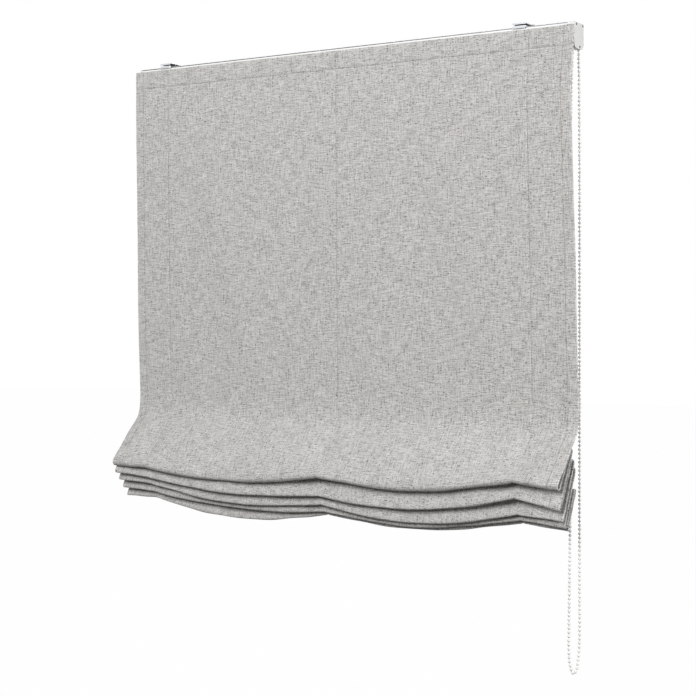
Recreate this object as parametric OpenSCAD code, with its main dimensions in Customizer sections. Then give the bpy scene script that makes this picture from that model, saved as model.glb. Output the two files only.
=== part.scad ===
// Chain-operated Roman blind: headrail, twist-lock brackets, soft-fold cloth and bead chain.
// The row frame has its origin on the ceiling, midway between the two bracket screws.
// Inside the modules, x runs from the middle of the cloth, y back from the cloth's front
// face at the rail, and z up from the top of the rail.

/* [Cloth] */
// Finished width of the cloth
blind_w = 800; // [700:10:1000]
// Thickness of the cloth
cloth_t = 1; // [0.6:0.1:1.2]
// Bare rail above the top edge of the cloth
cloth_top_gap = 5; // [4:0.5:6]
// Drop of the flat cloth, from the rail top to the folds
panel_drop = 545; // [500:5:600]
// How far the flat cloth leans back over its drop
panel_lean = 5; // [3:0.5:6]
// Height of the folded stack, down to the hem at a cord
stack_h = 171; // [150:1:190]
// How far the first fold stands in front of the flat cloth
stack_reach = 58; // [50:1:66]
// Sag of the folds between two lift cords
swag_d = 20; // [0:1:22]
// Radius of the soft bend at the first fold
front_fold_r = 6; // [4:0.5:6.5]
// Radius of the soft bend at each fold behind it
fold_r = 2.6; // [2.2:0.1:3]

/* [Headrail] */
// Depth of the rail, front to back
rail_d = 32; // [30:0.5:40]
// Height of the rail
rail_h = 30; // [29:0.5:34]
// Wall of the rail
rail_wall = 1.3; // [1:0.1:1.6]
// Width of the slot along the top of the rail
rail_slot_w = 14; // [13:0.5:16]
// Cloth that overhangs the left-hand end of the rail
left_overhang = 7; // [4:1:20]
// Height of the hook and loop tapes
tape_h = 19; // [16:1:24]
// Thickness of the hook tape
hook_tape_t = 1.3; // [1:0.1:1.6]
// Thickness of the loop tape
loop_tape_t = 1.2; // [1:0.1:1.6]

/* [Control unit] */
// Width of the unit outside the rail
unit_w = 10; // [10:0.5:13]
// Height of the unit
unit_h = 37; // [36:0.5:44]
// Cloth that overhangs the outer face of the unit
right_overhang = 2; // [0:1:6]
// Radius of the unit's lower corners
unit_corner_r = 8; // [4:0.5:10]
// Thickness of the cover plate
cover_t = 1.5; // [1.2:0.1:2]
// Length of the plug inside the rail
plug_l = 18; // [16:0.5:24]
// Diameter of the heads of the cover screws
cover_screw_head_d = 3.8; // [3:0.1:4.4]

/* [Drive] */
// Depth of the drive shaft's axis below the rail top
shaft_drop = 17.3; // [17:0.1:17.6]
// Side of the square drive shaft
shaft_side = 5; // [4:0.1:5]
// Radius of the bare drum of a cord spool
drum_r = 6.4; // [6:0.1:7]
// Radius of the flanges of a cord spool
spool_flange_r = 10.6; // [9.5:0.1:10.6]
// Length of a cord spool between its flanges
drum_l = 13; // [10:0.5:16]
// Diameter of a lift cord
cord_d = 1.2; // [0.9:0.1:1.4]

/* [Chain] */
// Diameter of a bead
bead_d = 4.5; // [4:0.1:4.8]
// Spacing of the beads along the chain
bead_pitch = 6; // [5.8:0.1:6.2]
// Diameter of the cord that joins the beads
chain_cord_d = 1.1; // [0.8:0.1:1.6]

/* [Brackets] */
// Distance of the left-hand bracket from its end of the rail
left_bracket_inset = 52; // [40:1:90]
// Distance of the right-hand bracket from its end of the rail
right_bracket_inset = 76; // [60:1:110]
// Width of a bracket along the rail
bracket_w = 21; // [18:0.5:26]
// Height of the space that a bracket fills between rail and ceiling
bracket_h = 6; // [5.6:0.1:8]
// Sheet thickness of a bracket's upper plate
bracket_plate_t = 1.5; // [1.2:0.1:1.6]
// Sheet thickness of a bracket's foot
bracket_foot_t = 1.9; // [1.5:0.1:2]
// Diameter of the screw hole
screw_hole_d = 4.5; // [3.5:0.1:5]
// Distance of the screw hole behind the rail
screw_set_back = 9; // [8:0.5:14]
// Length of a lever from its pivot to its tip
lever_l = 17; // [15:0.5:20]

/* [Hidden] */
$fn = 48;

// Colours as the photo shows them
cloth_colour = "#b6b4b2";
white_paint = "#f2f2f0";
white_plastic = "#e6e6e4";
chrome_colour = "#c9ccd0";
dark_plastic = "#2b2b2d";
steel_colour = "#8f9194";
cord_colour = "#f4f3ee";

// Clearances and the overrun of every cut
overrun = 1;
seat_gap = 0.2;
running_gap = 0.05;
moving_gap = 0.3;

// Lines that the pieces share
cloth_left = -blind_w / 2;
cloth_right = blind_w / 2;
loop_front = cloth_t;
hook_front = loop_front + loop_tape_t;
rail_front = hook_front + hook_tape_t;
rail_back = rail_front + rail_d;
unit_right = cloth_right - right_overhang;
unit_left = unit_right - unit_w;
cap_t = 3;
rail_left = cloth_left + left_overhang + cap_t;
rail_l = unit_left - rail_left;
rail_floor = rail_wall - rail_h;
screw_y = rail_back + screw_set_back;
left_bracket_x = rail_left + left_bracket_inset;
right_bracket_x = unit_left - right_bracket_inset;
bracket_offset = -(left_bracket_x + right_bracket_x) / 2;
shaft_y = rail_front + rail_d / 2;
shaft_z = -shaft_drop;

// Lift cords, across the width and behind the cloth
cord_shares = [-0.425, 0, 0.4125];
winding_r = drum_r + cord_d / 2;
cord_y = shaft_y - winding_r;
function cord_x(i) = cord_shares[i] * blind_w;

// Stack of folds: four folds and the hem, each at the left, middle and right cord.
// Drops are shares of the stack's height, reaches of its reach and sags of the swag depth.
fold_drop_shares = [
    [0.69, 0.684, 0.62],
    [0.784, 0.848, 0.75],
    [0.848, 0.93, 0.889],
    [0.93, 1, 0.942],
    [0.994, 1.03, 0.971]
];
fold_reach_shares = [1, 0.86, 0.7, 0.53, 0.36];
fold_sag_shares = [[0.7, 0.75], [0.55, 0.9], [0.75, 1], [0.55, 0.8], [1, 0.8]];
ear_sag_shares = [[0.05, 0.3], [-0.25, 0.65], [-0.15, 0.3], [-0.15, 0.25], [0.05, 0.3]];
loop_drop_shares = [0.345, 0.444, 0.509, 0.678];
loop_reach_shares = [0.24, 0.155, 0.07, 0];
flare_drop_shares = [0.06, 0.14, 0.225, 0.37, 0.49];
flare_reach_shares = [-0.09, -0.075, 0, 0.39, 0.68];
// The rings pull each loop back to its cord, over a short width
cord_pull_w = 45;
bay_columns = [3, 14, 14, 3];
fold_count = len(loop_drop_shares);

// Rings: a flat eye around each cord, just behind the loops
ring_in_r = 2.2;
ring_wire_d = 1.8;
ring_foot_w = 3;
ring_r = ring_in_r + ring_wire_d / 2;
ring_front = cord_y - ring_r - ring_wire_d / 2;
loop_at_cord = ring_front - moving_gap - cloth_t / 2 - fold_r;

// Flat cloth: its top edge, and its front face at a height
panel_top = -cloth_top_gap;
panel_l = panel_drop - cloth_top_gap;
function panel_y(z) = panel_lean * (panel_top - z) / panel_l;

// Share of the way from one cord to the next, or from a cord to the cloth's edge
function bay_share(x, a, b) = (x - a) / (b - a);
function bay_curve(f) = sin(180 * f);

// Height of the bottom of fold k at a place across the width
function fold_z(k, x) =
    let (drop = fold_drop_shares[k], sag = fold_sag_shares[k], ear = ear_sag_shares[k])
    let (left = cord_x(0), middle = cord_x(1), right = cord_x(2))
    let (low = x < left ? drop[0] : x > right ? drop[2]
        : x < middle ? drop[0] + (drop[1] - drop[0]) * bay_share(x, left, middle)
        : drop[1] + (drop[2] - drop[1]) * bay_share(x, middle, right))
    let (dip = x < left ? ear[0] * bay_share(x, left, cloth_left)
        : x > right ? ear[1] * bay_share(x, right, cloth_right)
        : x < middle ? sag[0] * bay_curve(bay_share(x, left, middle))
        : sag[1] * bay_curve(bay_share(x, middle, right)))
    -panel_drop - low * stack_h - dip * swag_d;

// A fold's soft bend, and a loop's, as points in depth and height
bend_angles = [180, 225, 270, 315, 360];
function fold_bend(y, z, r) = [for (a = bend_angles) [y + r * cos(a), z + r * (1 + sin(a))]];
function loop_bend(y, z) = [for (a = [180, 90, 0]) [y + fold_r * cos(a), z - fold_r * (1 - sin(a))]];
leg_shares = [0.33, 0.67];
function leg(a, b) = [for (s = leg_shares) a + (b - a) * s];
function last(list) = list[len(list) - 1];

// Middle line of the folded cloth at a place across the width
function fold_low(k, x) = let (r = k == 0 ? front_fold_r : fold_r)
    fold_bend(r - fold_r - fold_reach_shares[k] * stack_reach, fold_z(k, x), r);
function cord_pull(x) = max([for (i = [0 : 2]) exp(-pow((x - cord_x(i)) / cord_pull_w, 2))]);
function loop_y(k, x) = let (free = -loop_reach_shares[k] * stack_reach)
    free + (loop_at_cord - free) * cord_pull(x);
function loop_z(k) = -panel_drop - loop_drop_shares[k] * stack_h;
function loop_high(k, x) = loop_bend(loop_y(k, x), loop_z(k));
function flare(x) = [for (i = [0 : len(flare_drop_shares) - 1])
    [-flare_reach_shares[i] * stack_reach, -panel_drop - flare_drop_shares[i] * stack_h]];
function fold_turn(k, x) =
    let (low = fold_low(k, x), high = loop_high(k, x), next = fold_low(k + 1, x))
    concat(low, leg(last(low), high[0]), high, leg(last(high), next[0]));
stack_start_y = panel_lean + cloth_t / 2;
function fold_line(x) = concat(
    [[stack_start_y, -panel_drop]],
    flare(x),
    [for (k = [0 : fold_count - 1]) each fold_turn(k, x)],
    [for (i = [0 : 2]) fold_low(fold_count, x)[i]]
);

// Normal of a line in depth and height at point i, square to its neighbours
function line_step(line, i) = line[min(i + 1, len(line) - 1)] - line[max(i - 1, 0)];
function line_normal(line, i) = i == 0 ? [1, 0] : let (d = line_step(line, i)) [-d[1], d[0]] / norm(d);

// One closed sheet from lines across the width, half the thickness to each side
function sheet_points(columns, side) = [for (c = columns, i = [0 : len(c[1]) - 1])
    let (p = c[1][i] + side * cloth_t / 2 * line_normal(c[1], i)) [c[0], p[0], p[1]]];

module sheet(columns) {
    n = len(columns[0][1]);
    m = len(columns);
    back = n * m;
    cells = [for (c = [0 : m - 2], i = [0 : n - 2]) let (a = c * n + i) [a, a + 1, a + n + 1, a + n]];
    rim = concat(
        [for (c = [0 : m - 1]) c * n],
        [for (i = [1 : n - 1]) (m - 1) * n + i],
        [for (c = [m - 2 : -1 : 0]) c * n + n - 1],
        [for (i = [n - 2 : -1 : 1]) i]
    );
    edge = len(rim);
    faces = concat(
        [for (q = cells) each [[q[0], q[2], q[1]], [q[0], q[3], q[2]]]],
        [for (q = cells) let (a = q[0] + back, b = q[1] + back, c = q[2] + back, d = q[3] + back)
            each [[a, b, c], [a, c, d]]],
        [for (i = [0 : edge - 1]) let (a = rim[i], b = rim[(i + 1) % edge])
            each [[a, b + back, b], [a, a + back, b + back]]]
    );
    polyhedron(points = concat(sheet_points(columns, -1), sheet_points(columns, 1)), faces = faces);
}

// Route of the bead chain: down the front run, round the loop and up the back run.
// Across and in depth it is counted from the middle of the chain wheel.
chain_route = [
    [0, -9.5, -24], [-0.6, -9.5, -40], [-2.5, -9.2, -80], [-4, -8.5, -150], [-5, -8, -300],
    [-5.5, -7.5, -450], [-5.5, -7, -560], [-5.5, -6.5, -640], [-6, -6.5, -720], [-7, -6.5, -800],
    [-8, -6, -860], [-8.5, -5, -895], [-7.5, -3, -914], [-5.5, 0, -924], [-3.5, 3.5, -926],
    [-1.5, 7, -919], [0, 9.5, -902], [1, 11, -875], [1, 11, -800], [1, 11, -650], [1, 11, -500],
    [1, 11, -350], [1, 11, -200], [0.6, 10, -80], [0, 9.5, -40], [0, 9.5, -24]
];
chain_from = [unit_right - unit_w / 2, shaft_y, 0];
route_steps = 3;
chain_cord_sides = 8;

// A smooth curve through a route's points
function curve_point(a, b, c, d, s) =
    (2 * b + (c - a) * s + (2 * a - 5 * b + 4 * c - d) * s * s + (3 * b - a - 3 * c + d) * s * s * s) / 2;
function smooth(route) = let (n = len(route)) concat(
    [for (i = [0 : n - 2], k = [0 : route_steps - 1])
        let (before = route[max(i - 1, 0)], after = route[min(i + 2, n - 1)])
        curve_point(before, route[i], route[i + 1], after, k / route_steps)],
    [route[n - 1]]
);
chain_line = [for (p = smooth(chain_route)) p + chain_from];

// Length along the chain at each of its points
function running_length(line, i = 0, sum = 0, out = []) = i == len(line) ? out
    : let (s = i == 0 ? 0 : sum + norm(line[i] - line[i - 1]))
        running_length(line, i + 1, s, concat(out, [s]));
chain_lengths = running_length(chain_line);
chain_l = last(chain_lengths);
function segment_at(s, i = 1) =
    i == len(chain_lengths) - 1 || chain_lengths[i] >= s ? i : segment_at(s, i + 1);
function chain_at(s) = let (i = segment_at(s), a = chain_lengths[i - 1], b = chain_lengths[i])
    chain_line[i - 1] + (chain_line[i] - chain_line[i - 1]) * (s - a) / (b - a);

// A tube swept along a line in space
function unit_vector(v) = v / norm(v);
module tube(line, d, sides) {
    n = len(line);
    points = [for (i = [0 : n - 1])
        let (along = unit_vector(line[min(i + 1, n - 1)] - line[max(i - 1, 0)]))
        let (across = unit_vector(cross(along, [1, 0, 0])), up = cross(across, along))
        for (k = [0 : sides - 1]) let (a = 360 * k / sides)
            line[i] + d / 2 * (cos(a) * across + sin(a) * up)];
    walls = [for (i = [0 : n - 2], k = [0 : sides - 1])
        let (a = i * sides + k, b = i * sides + (k + 1) % sides)
        each [[a, b, b + sides], [a, b + sides, a + sides]]];
    start = [for (k = [sides - 1 : -1 : 0]) k];
    end = [for (k = [0 : sides - 1]) (n - 1) * sides + k];
    polyhedron(points = points, faces = concat([start], walls, [end]));
}

// Placing: the blind in the row frame, a section along the width, a turned piece on the shaft
module in_place() {
    translate([bracket_offset, -screw_y, -bracket_h]) children();
}
module along_width(from_x, length) {
    translate([from_x, 0, 0]) rotate([90, 0, 90]) linear_extrude(length) children();
}
module on_shaft(from_x) {
    translate([from_x, shaft_y, shaft_z]) rotate([0, 90, 0]) children();
}
module shaft_bar(from_x, length, side) {
    translate([from_x, shaft_y - side / 2, shaft_z - side / 2]) cube([length, side, side]);
}

// Cloth
module shade_panel() {
    color(cloth_colour) in_place() along_width(cloth_left, blind_w) polygon([
        [0, panel_top],
        [cloth_t, panel_top],
        [panel_lean + cloth_t, -panel_drop],
        [panel_lean, -panel_drop]
    ]);
}

module shade_folds() {
    bay_edges = [cloth_left, cord_x(0), cord_x(1), cord_x(2), cloth_right];
    places = concat([cloth_left], [for (b = [0 : len(bay_columns) - 1], c = [1 : bay_columns[b]])
        bay_edges[b] + (bay_edges[b + 1] - bay_edges[b]) * c / bay_columns[b]]);
    color(cloth_colour) in_place() sheet([for (x = places) [x, fold_line(x)]]);
}

// Tapes that hold the cloth to the rail
tape_inset = 1;
tape_top = -cloth_top_gap - tape_inset;
module hook_tape() {
    color(white_plastic) in_place() translate([rail_left, hook_front, tape_top - tape_h])
        cube([rail_l, hook_tape_t, tape_h]);
}
module loop_tape() {
    lean = panel_y(tape_top - tape_h);
    color(white_plastic) in_place() along_width(rail_left, rail_l) polygon([
        [loop_front + panel_y(tape_top), tape_top],
        [hook_front, tape_top],
        [hook_front, tape_top - tape_h],
        [loop_front + lean, tape_top - tape_h]
    ]);
}

// Headrail, a C-shaped extrusion with a fine groove along its front edge and a hole below each spool
cord_hole_d = 7;
groove_h = 1.2;
groove_d = 0.6;
groove_drop = 0.5;
module rail_section() {
    difference() {
        translate([rail_front, -rail_h]) square([rail_d, rail_h]);
        translate([rail_front + rail_wall, rail_floor])
            square([rail_d - 2 * rail_wall, rail_h - 2 * rail_wall]);
        translate([shaft_y - rail_slot_w / 2, -rail_wall - overrun])
            square([rail_slot_w, rail_wall + 2 * overrun]);
        translate([rail_front - overrun, -groove_drop - groove_h]) square([overrun + groove_d, groove_h]);
    }
}
module headrail() {
    color(white_paint) in_place() difference() {
        along_width(rail_left, rail_l) rail_section();
        for (i = [0 : 2]) translate([cord_x(i), cord_y, -rail_h - overrun])
            cylinder(d = cord_hole_d, h = rail_wall + 2 * overrun);
    }
}

// A block that fills the rail's inside, less its seating gap
module rail_plug(from_x, length) {
    translate([from_x, rail_front + rail_wall + seat_gap, rail_floor])
        cube([length, rail_d - 2 * (rail_wall + seat_gap), rail_h - 2 * rail_wall - seat_gap]);
}

// Left end cap: a plate with a hollow plug
cap_plug_l = 8;
cap_wall = 1.8;
module left_end_cap() {
    color(white_plastic) in_place() {
        translate([rail_left - cap_t, rail_front, -rail_h]) cube([cap_t, rail_d, rail_h]);
        difference() {
            rail_plug(rail_left, cap_plug_l);
            translate([rail_left, rail_front + rail_wall + seat_gap + cap_wall, rail_floor + cap_wall])
                cube([cap_plug_l + overrun, rail_d - 2 * (rail_wall + seat_gap + cap_wall),
                    rail_h - 2 * (rail_wall + cap_wall) - seat_gap]);
        }
    }
}

// Control unit: outline, wheel chamber and screw places
unit_front = loop_front + loop_tape_t + running_gap;
unit_back = rail_back + running_gap;
unit_d = unit_back - unit_front;
unit_top_r = 1.5;
wheel_pockets = 10;
wheel_r = wheel_pockets * bead_pitch / (2 * PI);
chain_gap = 0.6;
chamber_r = wheel_r + bead_d / 2 + chain_gap;
chain_slot_w = bead_d + 2 * chain_gap;
housing_wall = 1.5;
screw_edge = 2.9;
cover_screw_d = 2;
cover_screw_l = 7;
cover_screw_head_t = 0.8;
front_screw_inset = 8.6;
low_screw_offset = 2.6;
cover_screw_places = [
    [unit_front + front_screw_inset, -screw_edge],
    [unit_back - screw_edge, -screw_edge],
    [shaft_y + low_screw_offset, screw_edge - unit_h]
];

module unit_outline() {
    r = unit_corner_r;
    translate([unit_front, r - unit_h]) square([unit_d, unit_h - r - unit_top_r]);
    translate([unit_front + r, -unit_h]) square([unit_d - 2 * r, r]);
    translate([unit_front + unit_top_r, -unit_top_r]) square([unit_d - 2 * unit_top_r, unit_top_r]);
    for (y = [unit_front + r, unit_back - r]) translate([y, r - unit_h]) circle(r);
    for (y = [unit_front + unit_top_r, unit_back - unit_top_r])
        translate([y, -unit_top_r]) circle(unit_top_r);
}

// Bores for the cover screws, from an outer face inwards
module cover_screw_bores(from_x, length, d) {
    for (p = cover_screw_places)
        translate([from_x, p[0], p[1]]) rotate([0, 90, 0]) cylinder(d = d, h = length);
}

clutch_bore_r = 8.5;
module control_housing() {
    inner_x = unit_left + housing_wall;
    depth = unit_w - cover_t - housing_wall + overrun;
    color(white_plastic) in_place() difference() {
        union() {
            along_width(unit_left, unit_w - cover_t) unit_outline();
            rail_plug(unit_left - plug_l, plug_l);
        }
        on_shaft(inner_x) cylinder(r = chamber_r, h = depth);
        for (side = [-1, 1])
            translate([inner_x, shaft_y + side * wheel_r - chain_slot_w / 2, -unit_h - overrun])
                cube([depth, chain_slot_w, unit_h - shaft_drop + overrun]);
        on_shaft(unit_left - plug_l - overrun)
            cylinder(r = clutch_bore_r, h = plug_l + housing_wall + 2 * overrun);
        cover_screw_bores(unit_right - cover_screw_l - overrun, cover_screw_l + 2 * overrun,
            cover_screw_d + 2 * running_gap);
    }
}

module control_cover() {
    color(white_plastic) in_place() difference() {
        along_width(unit_right - cover_t, cover_t) unit_outline();
        cover_screw_bores(unit_right - cover_t - overrun, cover_t + 2 * overrun,
            cover_screw_d + 2 * running_gap);
        cover_screw_bores(unit_right - cover_screw_head_t, cover_screw_head_t + overrun,
            cover_screw_head_d + 2 * running_gap);
    }
}

module cover_screws() {
    color(dark_plastic) in_place() {
        cover_screw_bores(unit_right - cover_screw_l, cover_screw_l, cover_screw_d);
        cover_screw_bores(unit_right - cover_screw_head_t, cover_screw_head_t, cover_screw_head_d);
    }
}

// Clutch: a fixed hub in the plug, with the wrap spring around its spigot
sleeve_r = 4.6;
spigot_r = 5.8;
hub_flange_l = 5;
spring_wire_d = 1.1;
spring_turns = 8;
spring_steps = 14;
spring_sides = 8;
hub_left = unit_left - plug_l;
module clutch_hub() {
    color(white_plastic) in_place() difference() {
        union() {
            on_shaft(hub_left) cylinder(r = clutch_bore_r - running_gap, h = hub_flange_l);
            on_shaft(hub_left) cylinder(r = spigot_r, h = plug_l);
        }
        on_shaft(hub_left - overrun) cylinder(r = sleeve_r + running_gap, h = plug_l + 2 * overrun);
    }
}

spring_r = (spigot_r + running_gap + spring_wire_d / 2) / cos(180 / spring_steps);
spring_pitch = spring_wire_d + running_gap;
spring_line = [for (i = [0 : spring_turns * spring_steps]) let (a = 360 * i / spring_steps)
    [hub_left + hub_flange_l + spring_wire_d + spring_pitch * i / spring_steps,
        shaft_y + spring_r * cos(a), shaft_z + spring_r * sin(a)]];
module brake_spring() {
    color(steel_colour) in_place() tube(spring_line, spring_wire_d, spring_sides);
}

// Chain wheel: a pocketed disc with a sleeve that turns in the hub
wheel_gap = 0.5;
wheel_rim = 0.5;
wheel_left = unit_left + housing_wall + wheel_gap;
wheel_w = unit_w - cover_t - housing_wall - 2 * wheel_gap;
pocket_w = bead_d + 2 * running_gap;
module chain_wheel() {
    color(white_plastic) in_place() difference() {
        union() {
            on_shaft(wheel_left) cylinder(r = wheel_r + wheel_rim, h = wheel_w);
            on_shaft(hub_left) cylinder(r = sleeve_r, h = wheel_left - hub_left);
        }
        for (k = [0 : wheel_pockets - 1])
            on_shaft(wheel_left + (wheel_w - pocket_w) / 2)
                rotate([0, 0, 360 * (k + 0.5) / wheel_pockets])
                    translate([wheel_r, 0, 0]) cylinder(d = bead_d + running_gap, h = pocket_w);
        shaft_bar(hub_left - overrun, wheel_left - hub_left + wheel_w + 2 * overrun,
            shaft_side + running_gap);
    }
}

// Spools and cradles
flange_t = 1.2;
journal_r = 5;
cradle_wall = 2.2;
cradle_gap = 0.4;
cradle_foot_w = 3;
cradle_headroom = 7;
spool_l = drum_l + 2 * flange_t;
cradle_in = spool_l / 2 + cradle_gap;
cradle_out = cradle_in + cradle_wall;
cradle_d = rail_d - 2 * (rail_wall + seat_gap);
cradle_h = rail_h - rail_wall - cradle_headroom;

module spool(i) {
    x = cord_x(i);
    color(white_plastic) in_place() difference() {
        union() {
            on_shaft(x - cradle_out) cylinder(r = journal_r, h = 2 * cradle_out);
            on_shaft(x - spool_l / 2) cylinder(r = drum_r, h = spool_l);
            for (end = [x - spool_l / 2, x + drum_l / 2])
                on_shaft(end) cylinder(r = spool_flange_r, h = flange_t);
        }
        shaft_bar(x - cradle_out - overrun, 2 * (cradle_out + overrun), shaft_side + running_gap);
    }
}

winding_turns = 10;
turn_pitch = drum_l / (winding_turns + 1);
module wound_cord(i) {
    color(cord_colour) in_place() on_shaft(cord_x(i)) rotate_extrude() difference() {
        union() {
            for (k = [0 : winding_turns - 1])
                translate([winding_r, (k - (winding_turns - 1) / 2) * turn_pitch]) circle(d = cord_d);
            translate([drum_r, -(winding_turns - 1) / 2 * turn_pitch])
                square([cord_d / 2, (winding_turns - 1) * turn_pitch]);
        }
        translate([0, -drum_l / 2]) square([drum_r, drum_l]);
    }
}

module cradle(i) {
    x = cord_x(i);
    front = rail_front + rail_wall + seat_gap;
    color(white_plastic) in_place() difference() {
        union() {
            for (end = [x - cradle_out, x + cradle_in])
                translate([end, front, rail_floor]) cube([cradle_wall, cradle_d, cradle_h]);
            for (y = [front, front + cradle_d - cradle_foot_w])
                translate([x - cradle_out, y, rail_floor])
                    cube([2 * cradle_out, cradle_foot_w, cradle_foot_w]);
        }
        on_shaft(x - cradle_out - overrun)
            cylinder(r = journal_r + running_gap, h = 2 * (cradle_out + overrun));
    }
}

shaft_left = cord_x(0) - cradle_out;
module drive_shaft() {
    color(steel_colour) in_place() shaft_bar(shaft_left, wheel_left + wheel_w - shaft_left, shaft_side);
}

// Brackets: a folded plate between ceiling and rail, with lips in front and a screw tab behind the rail
bracket_front = hook_front - loop_tape_t;
screw_margin = 7.5;
rivet_d = 4;
stem_r = 5;
web_t = 1.5;
lip_t = 1;
plate_lip_h = 2.4;
foot_lip_h = 2;
function bracket_x(side) = side < 0 ? left_bracket_x : right_bracket_x;

module bracket(side) {
    x = bracket_x(side);
    web_back = rail_back + web_t;
    color(chrome_colour) in_place() difference() {
        along_width(x - bracket_w / 2, bracket_w) {
            translate([bracket_front, bracket_h - bracket_plate_t])
                square([screw_y + screw_margin - bracket_front, bracket_plate_t]);
            translate([bracket_front, bracket_h - plate_lip_h]) square([lip_t, plate_lip_h]);
            translate([bracket_front, 0]) square([web_back - bracket_front, bracket_foot_t]);
            translate([bracket_front, -foot_lip_h]) square([lip_t, foot_lip_h + overrun]);
            translate([rail_back, 0]) square([web_t, bracket_h]);
        }
        translate([x, screw_y, 0]) cylinder(d = screw_hole_d, h = bracket_h + overrun);
        translate([x, shaft_y, 0]) cylinder(d = rivet_d + 2 * running_gap, h = bracket_h + overrun);
        translate([x, shaft_y, -overrun])
            cylinder(r = stem_r + moving_gap, h = bracket_foot_t + 2 * overrun);
    }
}

// Lever: an arm in the bracket, and a hammer head that locks under the rail's lips
lever_eye_r = 9.5;
lever_tip_r = 3.2;
hammer_l = 20;
hammer_w = 9;
hammer_t = 2.4;
hammer_top = -rail_wall - moving_gap;
lever_low = bracket_foot_t + moving_gap;
lever_t = bracket_h - bracket_plate_t - lever_low - moving_gap;
module bracket_lever(side) {
    x = bracket_x(side);
    color(dark_plastic) in_place() translate([x, shaft_y, 0]) difference() {
        union() {
            translate([0, 0, lever_low]) cylinder(r = lever_eye_r, h = lever_t);
            translate([0, -lever_tip_r, lever_low]) cube([lever_l - lever_tip_r, 2 * lever_tip_r, lever_t]);
            translate([lever_l - lever_tip_r, 0, lever_low]) cylinder(r = lever_tip_r, h = lever_t);
            translate([0, 0, hammer_top]) cylinder(r = stem_r, h = lever_low - hammer_top);
            translate([-hammer_w / 2, -hammer_l / 2, hammer_top - hammer_t])
                cube([hammer_w, hammer_l, hammer_t]);
        }
        translate([0, 0, hammer_top - hammer_t - overrun])
            cylinder(d = rivet_d + 2 * running_gap, h = bracket_h + hammer_t + rail_wall + 2 * overrun);
    }
}

rivet_head_r = 3.2;
rivet_head_t = 0.8;
module lever_rivet(side) {
    head_top = hammer_top - hammer_t - moving_gap;
    color(chrome_colour) in_place() translate([bracket_x(side), shaft_y, head_top - rivet_head_t]) {
        cylinder(d = rivet_d, h = bracket_h - head_top + rivet_head_t);
        cylinder(r = rivet_head_r, h = rivet_head_t);
    }
}

// Ring tapes up the back of the flat cloth
ring_tape_w = 14;
ring_tape_t = 0.8;
ring_tape_top = tape_top - tape_h - tape_inset;
module ring_tape(i) {
    front = cloth_t;
    back = cloth_t + ring_tape_t;
    color(cloth_colour) in_place() along_width(cord_x(i) - ring_tape_w / 2, ring_tape_w) polygon([
        [panel_y(ring_tape_top) + front, ring_tape_top],
        [panel_y(ring_tape_top) + back, ring_tape_top],
        [panel_lean + back, -panel_drop],
        [panel_lean + front, -panel_drop]
    ]);
}

// A ring, with a foot that reaches its carrier
module ring(x, z, carrier_y) {
    translate([x, cord_y, z]) rotate_extrude() translate([ring_r, 0]) circle(d = ring_wire_d);
    translate([x - ring_foot_w / 2, carrier_y + moving_gap, z - ring_wire_d / 2])
        cube([ring_foot_w, cord_y - ring_r - carrier_y - moving_gap, ring_wire_d]);
}

// Rows of rings on the flat cloth, as shares of its drop
ring_row_shares = [0.37, 0.7];
module ring_row(row) {
    z = -ring_row_shares[row] * panel_drop;
    color(white_plastic) in_place() for (i = [0 : 2])
        ring(cord_x(i), z, panel_y(z) + cloth_t + ring_tape_t);
}
module upper_rings() {
    ring_row(0);
}
module lower_rings() {
    ring_row(1);
}

// Rings at the loops of the folds
module fold_rings() {
    color(white_plastic) in_place() for (i = [0 : 2], k = [0 : fold_count - 1])
        ring(cord_x(i), loop_z(k) - fold_r, loop_at_cord + fold_r + cloth_t / 2 - moving_gap);
}

// Lift cords, from the spools down to their releases
release_r = 3.6;
release_h = 12;
release_bore_r = cord_d / 2 + moving_gap;
release_top = loop_z(fold_count - 1) - fold_r - ring_wire_d / 2;
cord_start_share = 0.75;
cord_start = shaft_z - cord_start_share * winding_r;
cord_end = release_top - release_h / 2;
module lift_cord(i) {
    color(cord_colour) in_place() translate([cord_x(i), cord_y, cord_end])
        cylinder(d = cord_d, h = cord_start - cord_end);
}

module cord_releases() {
    color(white_plastic) in_place() for (i = [0 : 2])
        translate([cord_x(i), cord_y, release_top - release_h]) difference() {
            cylinder(r = release_r, h = release_h);
            translate([0, 0, release_h / 2 - moving_gap]) cylinder(r = release_bore_r, h = release_h);
        }
}

// Bead chain
module chain_cord() {
    color(cord_colour) in_place() tube(chain_line, chain_cord_d, chain_cord_sides);
}
module chain_beads() {
    color(cord_colour) in_place() for (k = [0 : floor((chain_l - bead_d) / bead_pitch)])
        translate(chain_at(bead_d / 2 + k * bead_pitch)) sphere(d = bead_d);
}

shade_panel();
shade_folds();
headrail();
hook_tape();
loop_tape();
left_end_cap();
control_housing();
control_cover();
cover_screws();
clutch_hub();
brake_spring();
cradle(0);  // cradle_left
cradle(1);  // cradle_middle
cradle(2);  // cradle_right
bracket(-1);  // bracket_left
bracket(1);  // bracket_right
lever_rivet(-1);  // lever_rivet_left
lever_rivet(1);  // lever_rivet_right
bracket_lever(-1);  // bracket_lever_left
bracket_lever(1);  // bracket_lever_right
chain_wheel();
drive_shaft();
spool(0);  // spool_left
spool(1);  // spool_middle
spool(2);  // spool_right
wound_cord(0);  // wound_cord_left
wound_cord(1);  // wound_cord_middle
wound_cord(2);  // wound_cord_right
lift_cord(0);  // lift_cord_left
lift_cord(1);  // lift_cord_middle
lift_cord(2);  // lift_cord_right
ring_tape(0);  // ring_tape_left
ring_tape(1);  // ring_tape_middle
ring_tape(2);  // ring_tape_right
upper_rings();
lower_rings();
fold_rings();
cord_releases();
chain_cord();
chain_beads();
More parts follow.
